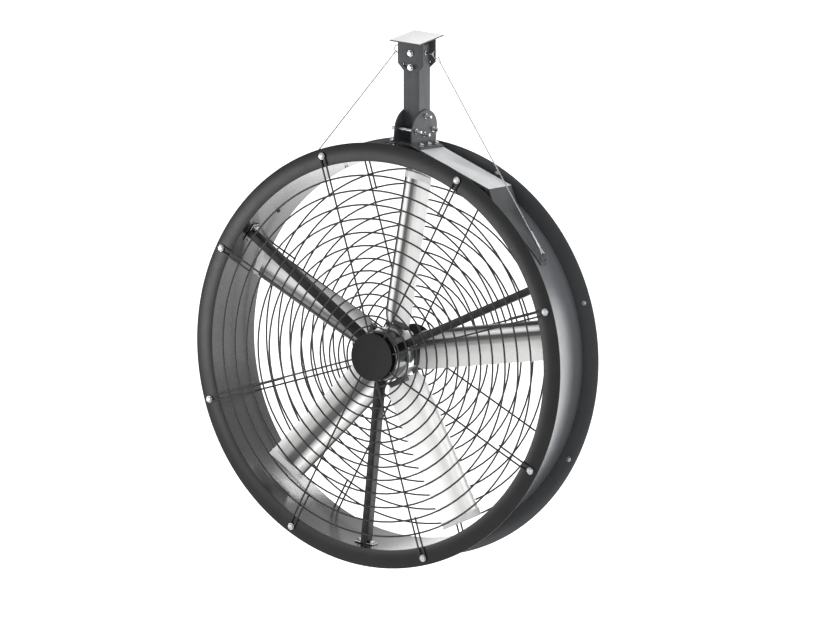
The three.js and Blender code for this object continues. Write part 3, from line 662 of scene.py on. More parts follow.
    @staticmethod
    def refined(node: str, bevel: float, segments: int = 2) -> Piece:
        """Copies a frame node, merges it and rounds its edges.

        Args:
            node: The node's name.
            bevel: Radius of its rounded edges.
            segments: Steps across each of them.

        Returns:
            The copy.
        """
        source = frame["nodes"][node]
        piece = bpy.data.objects.new(node + "_made", source.data.copy())
        bpy.context.scene.collection.objects.link(piece)
        Bench.edit_all(piece)
        bpy.ops.mesh.remove_doubles(threshold=0.01 * MM)
        bpy.ops.mesh.dissolve_limited(angle_limit=math.radians(1.0))
        bpy.ops.object.mode_set(mode="OBJECT")
        if bevel:
            Bench.bevel(piece, bevel, segments, degrees=32)
        return Bench.smooth(piece)


def keep(piece: Piece, name: str, body: str, finish: Finish, nodes: Sequence[str] = ()) -> Piece:
    """Names, dresses and mounts a finished piece.

    Args:
        piece: The piece, with its place in its mesh.
        name: Its name.
        body: The body that it rides on.
        finish: Its finish.
        nodes: The frame nodes that it stands for.

    Returns:
        The piece.
    """
    piece.name = name
    piece.data.name = name
    piece.data.materials.clear()
    piece.data.materials.append(finish.material())
    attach(piece, body)
    if nodes:
        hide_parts(*nodes)
    log.info("%s on %s, %d faces", name, body, len(piece.data.polygons))
    return piece


def dress_where(piece: Piece, finish: Finish, test: Callable[[bpy.types.MeshPolygon], bool]) -> None:
    """Gives a further finish to the faces that pass a test.

    Args:
        piece: The piece, dressed already.
        finish: The further finish.
        test: Says whether a face takes it.
    """
    piece.data.materials.append(finish.material())
    index = len(piece.data.materials) - 1
    for face in piece.data.polygons:
        if test(face):
            face.material_index = index


def about_axis(degrees: float) -> Matrix:
    """Turn about the drum's axis, clockwise seen from the front, with 0 at the top."""
    return Matrix.Rotation(math.radians(degrees), 4, "Y")


FRONTWARD = Matrix.Rotation(math.radians(90), 4, "X")
"""Lays +Z along -Y, towards the front."""
SIDEWARD = Matrix.Rotation(math.radians(90), 4, "Y")
"""Lays +Z along +X, towards the right."""
HALF_TURN_X = Matrix.Rotation(math.pi, 4, "X")
HALF_TURN_Z = Matrix.Rotation(math.pi, 4, "Z")
SIDES = (("right", 1), ("left", -1))


# ---- bolts ------------------------------------------------------------------------------------
@dataclass(frozen=True)
class HexHead:
    """Hexagon on a washer along +Z, which sits at 0."""

    washer_r: float
    hex_r: float
    hex_h: float
    washer_t: float = 1.6 * MM
    sides: int = 28

    def make(self) -> list[Piece]:
        """Builds the washer and the hexagon.

        Returns:
            Both pieces.
        """
        washer = Bench.round_bar(self.washer_r, 0, self.washer_t, self.sides, bevel=0.4 * MM)
        top = Hardware.hex_part(self.hex_r, 0, self.hex_h)
        top.data.transform(Matrix.Translation((0, 0, self.washer_t)))
        return [washer, top]


@dataclass(frozen=True)
class DomeBolt:
    """Guard bolt along +Z, head up: washer, domed head, shank and nut; it sits at 0."""

    washer_r: float = 12.4 * MM
    washer_t: float = 1.8 * MM
    head_r: float = 10.4 * MM
    head_top: float = 7.8 * MM
    dome: float = 4.2 * MM
    shank_r: float = 5.7 * MM
    shank_end: float = -20 * MM
    nut_r: float = 9.8 * MM
    nut_h: float = 7 * MM
    nut_seat: float = -9.5 * MM

    def make(self) -> Piece:
        """Builds the bolt.

        Returns:
            The bolt.
        """
        washer = Bench.round_bar(self.washer_r, 0, self.washer_t, sides=32, bevel=0.5 * MM)
        head = Bench.round_bar(self.head_r, self.washer_t, self.head_top, sides=32)
        Bench.select(head, lambda face: face.normal.z > 0.9)
        bpy.ops.mesh.bevel(offset=self.dome, segments=5, affect="EDGES")
        Bench.done(head)
        shank = Bench.round_bar(self.shank_r, self.shank_end, 1 * MM, sides=20, bevel=0.8 * MM)
        nut = Hardware.nut_under(self.nut_r, self.nut_h, self.nut_seat)
        return Bench.smooth(Bench.join([washer, head, shank, nut]))


@dataclass
class Hardware:
    """Bolts, rods and nuts of the hanger and the guards.

    foot_shank is a radius, a lower and an upper end; foot_nut a radius, a height and a seat.
    """

    hinge_half: float = 41.8 * MM
    hinge_head: HexHead = HexHead(11.6 * MM, 9.6 * MM, 7 * MM, sides=32)
    hinge_thread: float = 5.6 * MM
    hinge_ends: tuple[float, float] = (3 * MM, 13.6 * MM)
    lock_drop: float = 50 * MM
    cross_half: float = 37.8 * MM
    cross_head: HexHead = HexHead(9.4 * MM, 7.4 * MM, 7 * MM, sides=32)
    cross_thread: float = 6 * MM
    cross_ends: tuple[float, float] = (22 * MM, 22 * MM)
    clamp_drop: float = 64 * MM
    rod_out: float = 57 * MM
    rod_drop: float = 50 * MM
    bend: tuple[float, float] = (359 * MM, 644.99 * MM)
    slope: float = math.radians(17.8)
    foot_x: float = 56 * MM
    foot_pitch: float = 51 * MM
    foot_seat: float = 5.9 * MM
    foot_head: HexHead = HexHead(10.4 * MM, 9 * MM, 8 * MM, washer_t=1.4 * MM)
    foot_shank: tuple[float, float, float] = (3.7 * MM, -18 * MM, 2 * MM)
    foot_nut: tuple[float, float, float] = (7.2 * MM, 6 * MM, -10.9 * MM)
    guard_bolt: DomeBolt = DomeBolt()
    guard_bolt_seat: float = 6.1 * MM
    strap_bolt_deg: float = 27.5
    strap_bolt_v: float = 90 * MM
    strap_bolt_r: float = 6.5 * MM
    strap_bolt_h: float = 5 * MM

    @staticmethod
    def hex_part(radius: float, low: float, high: float) -> Piece:
        """Hexagon head or nut along +Z with a raised, chamfered crown.

        Args:
            radius: Its radius across the corners.
            low: Its seat.
            high: Its crown.

        Returns:
            The hexagon.
        """
        crown = (high - low) * 0.1
        body = high - low - crown
        Bench.clear()
        middle = (0, 0, low + body / 2)
        bpy.ops.mesh.primitive_cylinder_add(vertices=6, radius=radius, depth=body, location=middle)
        part = Bench.settle(bpy.context.object)
        Bench.select(part, lambda face: face.normal.z > 0.9)
        Bench.step_in(radius * 0.12, crown)
        Bench.done(part)
        return Bench.bevel(part, 0.5 * MM)

    @staticmethod
    def nut_under(radius: float, height: float, level: float) -> Piece:
        """Nut along Z whose crown points down.

        Args:
            radius: Its radius across the corners.
            height: Its height.
            level: Where its seat is.

        Returns:
            The nut.
        """
        nut = Hardware.hex_part(radius, 0, height)
        nut.data.transform(Matrix.Translation((0, 0, level)) @ HALF_TURN_X)
        return nut

    def guard_bolts(self) -> None:
        """Places the guard bolts of both faces."""
        model = self.guard_bolt.make()
        seat = Matrix.Translation((0, -HALF_DEPTH - self.guard_bolt_seat, BOLT_RING_R)) @ FRONTWARD
        for side, flip, way in (("front", Matrix(), 1), ("rear", HALF_TURN_Z, -1)):
            for index in range(SPOKES):
                angle = way * (FIRST_SPOKE_DEG + index * 360 / SPOKES)
                bolt = Bench.twin(model, DRUM @ flip @ about_axis(angle) @ seat)
                node = f"{side}_guard_bolt_{index + 1}"
                keep(bolt, f"{side}_dome_bolt_{index + 1}", "drum", Finish.ZINC, [node])
        bpy.data.objects.remove(model)

    @staticmethod
    def hex_bolt(half: float, head: HexHead, thread_r: float, ends: tuple[float, float]) -> Piece:
        """Bolt along Z through -half..half, with a hexagon and a washer at each end.

        Args:
            half: Half of the clamped length.
            head: The hexagon and its washer.
            thread_r: Radius of the thread.
            ends: How far the thread stands past the upper and the lower seat.

        Returns:
            The bolt.
        """
        parts = []
        for end, turn in zip(ends, (Matrix(), HALF_TURN_X)):
            tip = head.make()
            for piece in tip:
                piece.data.transform(Matrix.Translation((0, 0, half)))
            side = Bench.join([*tip, Bench.round_bar(thread_r, 0, half + end, sides=20, bevel=0.9 * MM)])
            side.data.transform(turn)
            parts.append(side)
        return Bench.smooth(Bench.join(parts))

    def hanger_bolts(self) -> None:
        """Places the slope bolts on the post's head and the bolts and rods through the ears."""
        hinge = self.hex_bolt(self.hinge_half, self.hinge_head, self.hinge_thread, self.hinge_ends)
        places = (("slope_pivot_bolt", "ceiling_bracket", 0), ("slope_lock_bolt", "post", self.lock_drop))
        for node, body, drop in places:
            place = Matrix.Translation(SLOPE_PIVOT - Vector((0, 0, drop))) @ FRONTWARD
            keep(Bench.twin(hinge, place), f"{node}_hex", body, Finish.ZINC, [node])
        bpy.data.objects.remove(hinge)
        across = self.hex_bolt(self.cross_half, self.cross_head, self.cross_thread, self.cross_ends)
        across.data.transform(SIDEWARD)
        pivot = Matrix.Translation(TILT_PIVOT)
        keep(Bench.twin(across, pivot), "tilt_pivot_hex", "post", Finish.ZINC, ["tilt_pivot_bolt"])
        places = (
            ("tilt_clamp_bolt", 0, self.clamp_drop),
            ("front_stop_rod", -self.rod_out, self.rod_drop),
            ("rear_stop_rod", self.rod_out, self.rod_drop),
        )
        for node, out, drop in places:
            place = DRUM @ Matrix.Translation(YOKE + Vector((0, out, -drop)))
            keep(Bench.twin(across, place), f"{node}_hex", "drum", Finish.ZINC, [node])
        bpy.data.objects.remove(across)

    def foot_bolts(self) -> None:
        """Places the small bolts that hold the ears' feet to the saddle."""
        bend_x, bend_z = self.bend
        level = bend_z + (bend_x - self.foot_x) * math.tan(self.slope)
        shank = Bench.round_bar(*self.foot_shank, sides=16, bevel=0.5 * MM)
        nut = self.nut_under(*self.foot_nut)
        model = Bench.smooth(Bench.join([*self.foot_head.make(), shank, nut]))
        for side, sign in SIDES:
            lean = Matrix.Rotation(sign * self.slope, 4, "Y") @ Matrix.Translation((0, 0, self.foot_seat))
            for index in range(3):
                along = YOKE.y + (index - 1) * self.foot_pitch
                place = DRUM @ Matrix.Translation((sign * self.foot_x, along, level)) @ lean
                node = f"{side}_foot_bolt_{index + 1}"
                keep(Bench.twin(model, place), f"{node}_hex", "drum", Finish.ZINC, [node])
        bpy.data.objects.remove(model)

    def strap_bolts(self) -> None:
        """Places the bolt heads inside the wall under the saddle's straps."""
        inward = Matrix.Translation((0, self.strap_bolt_v, WALL_R - WALL_T + SEAT_GAP)) @ HALF_TURN_X
        for side, sign in SIDES:
            head = self.hex_part(self.strap_bolt_r, 0, self.strap_bolt_h)
            head.data.transform(DRUM @ about_axis(sign * self.strap_bolt_deg) @ inward)
            keep(Bench.smooth(head), f"{side}_strap_bolt", "drum", Finish.ZINC)

    def build(self) -> None:
        """Builds all the bolts."""
        self.guard_bolts()
        self.hanger_bolts()
        self.foot_bolts()
        self.strap_bolts()


# ---- hanger ---------------------------------------------------------------------------------------
@dataclass
class Hanger:
    """Ceiling bracket, post, ears and saddle, cut from plate and square tube."""

    edge: float = 0.9 * MM
    tube_edge: float = 2.2 * MM
    ridge_x: float = 31 * MM
    bend_x: float = 361 * MM
    strap_x: float = WALL_R * math.sin(math.radians(STRAP_START_DEG))

    @staticmethod
    def out(face: bpy.types.MeshPolygon) -> float:
        """Distance of a face from the drum's upright middle plane."""
        return abs((DRUM.inverted() @ face.center).x)

    def plate(self, node: str, name: str, body: str, finish: Finish) -> Piece:
        """Rounds one plate's edges and dresses it.

        Args:
            node: The frame node that it is cut from.
            name: The piece's name.
            body: The body that it rides on.
            finish: Its finish.

        Returns:
            The plate.
        """
        return keep(Bench.refined(node, self.edge), name, body, finish, [node])

    def build(self) -> None:
        """Rounds the plates' edges and dresses them."""
        bracket = self.plate("ceiling_bracket", "bracket_plate", "ceiling_bracket", Finish.BRACKET)
        skin = -1.5 * MM
        # Only the plate's upward top face takes the painted-light copy.
        dress_where(bracket, Finish.PLATE_TOP, lambda face: face.normal.z > 0.9 and face.center.z > skin)
        post = Bench.refined("post", self.tube_edge, segments=3)
        keep(post, "square_post", "post", Finish.BRACKET, ["post"])
        for side in ("left", "right"):
            self.plate(f"{side}_ear", f"{side}_ear_plate", "drum", Finish.BRACKET)
        # The saddle's top between the ridge and the bends takes the painted-light copy; the rest keeps the
        # dark bracket paint.
        saddle = self.plate("saddle", "saddle_plate", "drum", Finish.SADDLE)
        dress_where(saddle, Finish.BRACKET, lambda face: not self.ridge_x <= self.out(face) <= self.bend_x)
        dress_where(saddle, Finish.STRAP, lambda face: self.out(face) > self.strap_x)


# ---- drum -----------------------------------------------------------------------------------------
@dataclass
class Drum:
    """Rolled wall and its two flange rings."""

    sides: int = 240
    flange_t: float = 3 * MM

    def wall(self) -> Piece:
        """Rolled wall about -Y, between the flanges.

        Returns:
            The wall.
        """
        Bench.clear()
        length = 2 * (HALF_DEPTH - self.flange_t)
        bpy.ops.mesh.primitive_cylinder_add(
            vertices=self.sides, radius=WALL_R, depth=length, end_fill_type="NOTHING")
        wall = Bench.settle(bpy.context.object, FRONTWARD)
        return Bench.smooth(Bench.apply(wall, "SOLIDIFY", thickness=WALL_T, offset=-1), degrees=40)

    def flange(self) -> Piece:
        """Flat ring along +Z from 0 to its thickness, its rims softened.

        Returns:
            The ring.
        """
        Bench.clear()
        inner = WALL_R - WALL_T
        bpy.ops.mesh.primitive_circle_add(vertices=self.sides, radius=inner, fill_type="NOTHING")
        ring = bpy.context.object
        Bench.edit_all(ring)
        bpy.ops.mesh.extrude_edges_move()
        share = FLANGE_R / inner
        bpy.ops.transform.resize(value=(share, share, 1))
        bpy.ops.mesh.select_all(action="SELECT")
        Bench.extrude((0, 0, self.flange_t))
        Bench.done(ring, outward=True)
        return Bench.smooth(Bench.bevel(ring, 0.7 * MM, degrees=40), degrees=40)

    def build(self) -> None:
        """Builds the wall and both flanges."""
        wall = self.wall()
        wall.data.transform(DRUM)
        keep(wall, "rolled_wall", "drum", Finish.WALL, ["drum_wall"])
        middle = DRUM.translation
        # Outward faces take the painted-light copy of the wall paint.
        dress_where(wall, Finish.OUTER_WALL, lambda face: face.normal.dot(face.center - middle) > 0)
        ring = self.flange()
        front = DRUM @ Matrix.Translation((0, -HALF_DEPTH + self.flange_t, 0)) @ FRONTWARD
        rear = DRUM @ Matrix.Translation((0, HALF_DEPTH, 0)) @ FRONTWARD
        keep(Bench.twin(ring, front), "front_flange", "drum", Finish.DRUM, ["front_flange_ring"])
        back = keep(Bench.twin(ring, rear), "rear_flange", "drum", Finish.DRUM, ["rear_flange_ring"])
        # Only the front-facing face of the rear flange takes the painted-light copy.
        dress_where(back, Finish.REAR_FLANGE, lambda face: face.normal.dot(SPIN) < -0.9)
        bpy.data.objects.remove(ring)


# ---- guards ---------------------------------------------------------------------------------------
@dataclass
class Guard:
    """Wire guard: concentric rings welded behind eight hairpins."""

    wire_r: float = 3.2 * MM
    rings: int = 13
    outer_r: float = BOLT_RING_R - 88 * MM
    inner_r: float = PLATE_R + 24 * MM
    step_change: float = 16 * MM
    hairpin_r: float = 9.05 * MM
    short_end: float = BOLT_RING_R - 146 * MM
    long_end: float = PLATE_R - 22 * MM
    plate_t: float = 4 * MM
    weld: float = 4.3 * MM
    ring_step: float = 6.5 * MM

    def ring_radii(self) -> list[float]:
        """Gives the rings' radii from the outermost in.

        Returns:
            The radii, whose steps shrink towards the centre.
        """
        mean = (self.outer_r - self.inner_r) / (self.rings - 1)
        radii = [self.outer_r]
        for index in range(self.rings - 1):
            radii.append(radii[-1] - mean - self.step_change * (0.5 - index / (self.rings - 2)))
        return radii

    def hairpin(self) -> Piece:
        """One hairpin at the drum's top: a long leg, a bend round the bolt and a short leg.

        Returns:
            The hairpin.
        """
        Bench.clear()
        start = (self.hairpin_r, 0, self.long_end)
        bpy.ops.mesh.primitive_circle_add(vertices=12, radius=self.wire_r, fill_type="NGON", location=start)
        pin = Bench.settle(bpy.context.object)
        Bench.edit_all(pin)
        Bench.extrude((0, 0, BOLT_RING_R - self.long_end))
        bpy.ops.mesh.spin(steps=14, angle=-math.pi, center=(0, 0, BOLT_RING_R), axis=(0, 1, 0))
        Bench.extrude((0, 0, self.short_end - BOLT_RING_R))
        return Bench.done(pin, outward=True)

    def wires(self, inward: int) -> Piece:
        """All of one guard's wires, in the drum's frame, for the front.

        Args:
            inward: 1 for rings behind the hairpins, -1 for rings outside them.

        Returns:
            The wires.
        """
        across = -HALF_DEPTH - SEAT_GAP - self.wire_r
        parts = []
        pin = self.hairpin()
        for index in range(SPOKES):
            turn = about_axis(FIRST_SPOKE_DEG + index * 360 / SPOKES)
            parts.append(Bench.twin(pin, turn @ Matrix.Translation((0, across, 0))))
        bpy.data.objects.remove(pin)
        for radius in self.ring_radii():
            Bench.clear()
            steps = max(48, int(radius / self.ring_step))
            bpy.ops.mesh.primitive_torus_add(
                major_radius=radius, minor_radius=self.wire_r, major_segments=steps, minor_segments=10)
            seat = Matrix.Translation((0, across + inward * self.weld, 0))
            parts.append(Bench.settle(bpy.context.object, seat @ FRONTWARD))
        return Bench.smooth(Bench.join(parts), degrees=60)

    def centre_plate(self) -> Piece:
        """Round centre plate along +Z from 0, with a rolled rim.

        Returns:
            The plate.
        """
        plate = Bench.round_bar(PLATE_R, 0, self.plate_t, sides=96, bevel=1.2 * MM)
        Bench.select(plate, lambda face: face.normal.z > 0.99)
        Bench.step_in(2.5 * MM, -0.5 * MM)
        return Bench.smooth(Bench.done(plate), degrees=30)

    def build(self) -> None:
        """Builds both guards and the front centre plate."""
        face = -HALF_DEPTH - SEAT_GAP - 2 * self.wire_r
        rearward = DRUM @ HALF_TURN_Z
        plate = self.centre_plate()
        rear_plate = Bench.twin(plate, rearward @ Matrix.Translation((0, face + 1 * MM, 0)) @ FRONTWARD)
        rear_wires = self.wires(-1)
        rear_wires.data.transform(rearward)
        front_wires = self.wires(1)
        front_wires.data.transform(DRUM)
        plate.data.transform(DRUM @ Matrix.Translation((0, face - SEAT_GAP, 0)) @ FRONTWARD)
        keep(front_wires, "front_wires", "drum", Finish.WIRE, ["front_guard"])
        keep(Bench.join([rear_wires, rear_plate]), "rear_wires", "drum", Finish.WIRE, ["rear_guard"])
        keep(plate, "centre_plate", "drum", Finish.BADGE, ["front_centre_plate"])


# ---- motor, struts and rotor ------------------------------------------------------------------------
@dataclass
class Drive:
    """Fixed motor on its three struts."""

    motor_r: float = 89.8 * MM
    motor_front: float = -122 * MM
    motor_rear: float = -47 * MM
    shaft_r: float = 12.5 * MM
    shaft_end: float = 29.5 * MM
    foot_r: float = 680 * MM
    foot_v: float = -73 * MM
    foot_bolt: HexHead = HexHead(13 * MM, 11 * MM, 9 * MM)
    bolt_out: float = 24.5 * MM
    strut_edge: float = 1.2 * MM
    strut_degrees: tuple[float, ...] = (60, 180, 300)

    def motor(self) -> Piece:
        """Motor case along +Z (front up), its front stepped in twice, with its shaft.

        Returns:
            The motor.
        """
        case = Bench.round_bar(self.motor_r, -self.motor_rear, -self.motor_front, sides=96)
        Bench.select(case, lambda face: face.normal.z > 0.9)
        bpy.ops.mesh.bevel(offset=5 * MM, segments=5, affect="EDGES")
        Bench.select(case, lambda face: face.normal.z > 0.99)
        for rim in (14 * MM, 22 * MM):
            Bench.step_in(rim, -2 * MM)
        Bench.done(case)
        inside = 1 * MM - self.motor_rear
        shaft = Bench.round_bar(self.shaft_r, -self.shaft_end, inside, sides=32, bevel=1.5 * MM)
        return Bench.smooth(Bench.join([case, shaft]), degrees=30)

    @staticmethod
    def from_axis(point: Vector) -> float:
        """Distance of a point from the drum's axis."""
        out = point - DRUM.translation
        return (out - SPIN * out.dot(SPIN)).length

    def strut_bolts(self) -> Piece:
        """Pair of bolts through one strut's foot, at the drum's top, heads inwards.

        Returns:
            Both bolts.
        """
        parts = []
        for sign in (1, -1):
            seat = Matrix.Translation((sign * self.bolt_out, self.foot_v, self.foot_r - SEAT_GAP))
            for part in self.foot_bolt.make():
                part.data.transform(seat @ HALF_TURN_X)
                parts.append(part)
        return Bench.smooth(Bench.join(parts))

    def build(self) -> None:
        """Builds the motor, the struts and their bolts."""
        motor = self.motor()
        motor.data.transform(DRUM @ FRONTWARD)
        keep(motor, "motor_case", "drum", Finish.MOTOR, ["motor_housing"])
        bolts = self.strut_bolts()
        for index, angle in enumerate(self.strut_degrees, 1):
            strut = Bench.refined(f"strut_{index}", self.strut_edge, segments=3)
            keep(strut, f"box_strut_{index}", "drum", Finish.STRUT, [f"strut_{index}"])
            dress_where(strut, Finish.ZINC, lambda face: self.from_axis(face.center) > self.foot_r - 1 * MM)
            keep(Bench.twin(bolts, DRUM @ about_axis(angle)), f"strut_bolts_{index}", "drum", Finish.ZINC)
        bpy.data.objects.remove(bolts)


@dataclass
class Rotor:
    """Hub with five extruded blades and their tip caps."""

    first: float = 3.8
    pitch: float = 21.0
    middle: float = -4 * MM
    chord: float = 145 * MM
    root: float = 100 * MM
    tip: float = 622 * MM
    cap: float = 24 * MM
    hub_r: float = 94.7 * MM
    hub_front: float = -46.5 * MM
    hub_rear: float = 25.5 * MM
    mid_t: float = 4 * MM
    root_share: Point = (0.74, 0.8, 1)
    root_rise: tuple[tuple[float, float], ...] = (
        (6 * MM, 1.12), (9 * MM, 1.09), (13 * MM, 1.06), (20 * MM, 1.044),
    )
    # The second box is the shoe: a dark block placed as painted shade on the blade's root.
    spar_and_shade_boxes: tuple[tuple[Point, Point], ...] = (
        ((25, 2.5, 125), (21, 10, 128)), ((92, 3, 104), (72, 18, 20)),
    )
    section: tuple[tuple[float, float], ...] = (
        (0, 2), (3, -4), (10, -8), (22, -9.5), (32, -7.5), (42, -3.5), (58, -0.5), (90, 1), (145, 0),
        (145, 2), (118, 8), (88, 13.5), (60, 16.5), (36, 16.5), (16, 13), (5, 8),
    )

    def blade_place(self) -> Matrix:
        """From blade axes (chord X, thickness Y, span Z) to the drum's top."""
        turn = Matrix.Rotation(-math.radians(self.pitch), 4, "Z")
        return Matrix.Translation((0, self.middle, 0)) @ turn @ Matrix.Translation((-self.chord / 2, 0, 0))

    def outline(self, margin: float = 0) -> list[Vector]:
        """The blade's section, run smoothly through its points.

        Args:
            margin: How far it grows outwards.

        Returns:
            Points of the closed outline in the plane Z = 0.
        """
        points = [Vector((x * MM, y * MM)) for x, y in self.section]
        count = len(points)
        smooth: list[Vector] = []
        corner = {8, 9}
        for index in range(count):
            before, here = points[index - 1], points[index]
            after, beyond = points[(index + 1) % count], points[(index + 2) % count]
            smooth.append(here)
            if index in corner and (index + 1) % count in corner:
                continue
            first = here if index in corner else before
            last = after if (index + 1) % count in corner else beyond
            for step in (0.25, 0.5, 0.75):
                square, cube = step * step, step ** 3
                smooth.append(0.5 * (
                    2 * here + (after - first) * step
                    + (2 * first - 5 * here + 4 * after - last) * square
                    + (3 * here - first - 3 * after + last) * cube))
        middle = Vector((self.chord / 2, self.mid_t))
        grown = []
        for point in smooth:
            reach = Vector(((point.x - middle.x) * (1 + margin / (self.chord / 2)), point.y - middle.y))
            reach.y += math.copysign(margin, reach.y)
            grown.append(middle + reach)
        return grown

    def slab(self, outline: Sequence[Vector], low: float) -> Piece:
        """Flat face, ready to be drawn out along +Z.

        Args:
            outline: Its closed outline.
            low: Its height.

        Returns:
            The face's object.
        """
        Bench.clear()
        bpy.ops.mesh.primitive_circle_add(vertices=len(outline), radius=self.chord / 2, fill_type="NGON")
        slab = Bench.settle(bpy.context.object)
        for vertex, point in zip(slab.data.vertices, outline):
            vertex.co = (point.x, point.y, low)
        slab.data.update()
        return slab

    def draw_out(self, slab: Piece, steps: Sequence[tuple[float, float]]) -> Piece:
        """Draws a face out along +Z in steps.

        Args:
            slab: The face's object.
            steps: For each, its length and the share by which the section then grows.

        Returns:
            The closed solid.
        """
        Bench.edit_all(slab)
        centre = (self.chord * 0.45, self.mid_t, 0)
        for length, growth in steps:
            Bench.extrude((0, 0, length))
            if growth != 1:
                bpy.ops.transform.resize(value=(growth, growth, 1), center_override=centre)
        return Bench.done(slab, outward=True)

    def blade(self) -> Piece:
        """One blade in blade axes, rounded in at its root, with its UV along chord and span.

        Returns:
            The blade.
        """
        slab = self.slab(self.outline(), self.root)
        Bench.edit_all(slab)
        centre = (self.chord * 0.45, self.mid_t, self.root)
        bpy.ops.transform.resize(value=self.root_share, center_override=centre)
        Bench.done(slab)
        straight = self.tip - self.root - sum(length for length, _ in self.root_rise)
        blade = self.draw_out(slab, [*self.root_rise, (straight, 1)])
        layer = blade.data.uv_layers.new(name="chord_span")
        for loop in blade.data.loops:
            spot = blade.data.vertices[loop.vertex_index].co
            layer.data[loop.index].uv = (spot.x / self.chord, spot.z)
        return Bench.smooth(blade, degrees=40)

    def tip_cap(self) -> Piece:
        """One tip cap in blade axes: a hollow-waisted block between two raised rims.

        Returns:
            The cap.
        """
        slab = self.slab(self.outline(2.4 * MM), self.tip + SEAT_GAP)
        rim, step, share = (3.2 * MM, 1), 0.8 * MM, 0.975
        waist = (15.6 * MM, 1)
        cap = self.draw_out(slab, [rim, (step, share), waist, (step, 1 / share), rim])
        return Bench.smooth(Bench.bevel(cap, 0.5 * MM, degrees=50), degrees=40)

    def hub(self) -> Piece:
        """Hub along +Z (front up) with a raised rear boss.

        Returns:
            The hub.
        """
        hub = Bench.round_bar(self.hub_r, -self.hub_rear, -self.hub_front, sides=96, bevel=2.5 * MM)
        Bench.select(hub, lambda face: face.normal.z < -0.99)
        for rim, lift in ((16 * MM, 7 * MM), (40 * MM, -7 * MM)):
            Bench.step_in(rim, lift)
        return Bench.done(hub)

    def spar(self) -> Piece:
        """Blade spar in blade axes: a flat bar, and behind it at the blade's root a black shoe, a dark
        block that is painted shade on the root.

        Returns:
            The spar.
        """
        boxes = []
        for middle, size in self.spar_and_shade_boxes:
            Bench.clear()
            bpy.ops.mesh.primitive_cube_add(
                size=1, location=[value * MM for value in middle], scale=[value * MM for value in size])
            boxes.append(Bench.settle(bpy.context.object))
        return Bench.bevel(Bench.join(boxes), 1.5 * MM, segments=3)

    def build(self) -> None:
        """Builds the hub, the spars, the blades and the caps."""
        place = self.blade_place()
        spar = self.spar()
        hub = self.hub()
        hub.data.transform(DRUM @ FRONTWARD)
        # each blade takes a different painted reflection band
        painted_reflection_bands = (Finish.BLADE, Finish.BLADE, Finish.BLADE_SOFT, Finish.BLADE_WIDE, Finish.BLADE_DEEP)
        angles = [self.first + index * 360 / len(painted_reflection_bands) for index in range(len(painted_reflection_bands))]
        arms = Bench.join([Bench.twin(spar, DRUM @ about_axis(angle) @ place) for angle in angles])
        keep(Bench.smooth(hub, 30), "hub_casting", "rotor", Finish.HUB, ["rotor_hub"])
        keep(Bench.smooth(arms, 30), "blade_spars_and_shade_blocks", "rotor", Finish.SHOE)
        bpy.data.objects.remove(spar)
        blade, cap = self.blade(), self.tip_cap()
        for index, (angle, painted_reflection_band) in enumerate(zip(angles, painted_reflection_bands), 1):
            where = DRUM @ about_axis(angle) @ place
            keep(Bench.twin(blade, where), f"alloy_blade_{index}", "rotor", painted_reflection_band, [f"blade_{index}"])
            keep(Bench.twin(cap, where), f"tip_cap_{index}", "rotor", Finish.CAP, [f"blade_cap_{index}"])
        bpy.data.objects.remove(blade)
        bpy.data.objects.remove(cap)


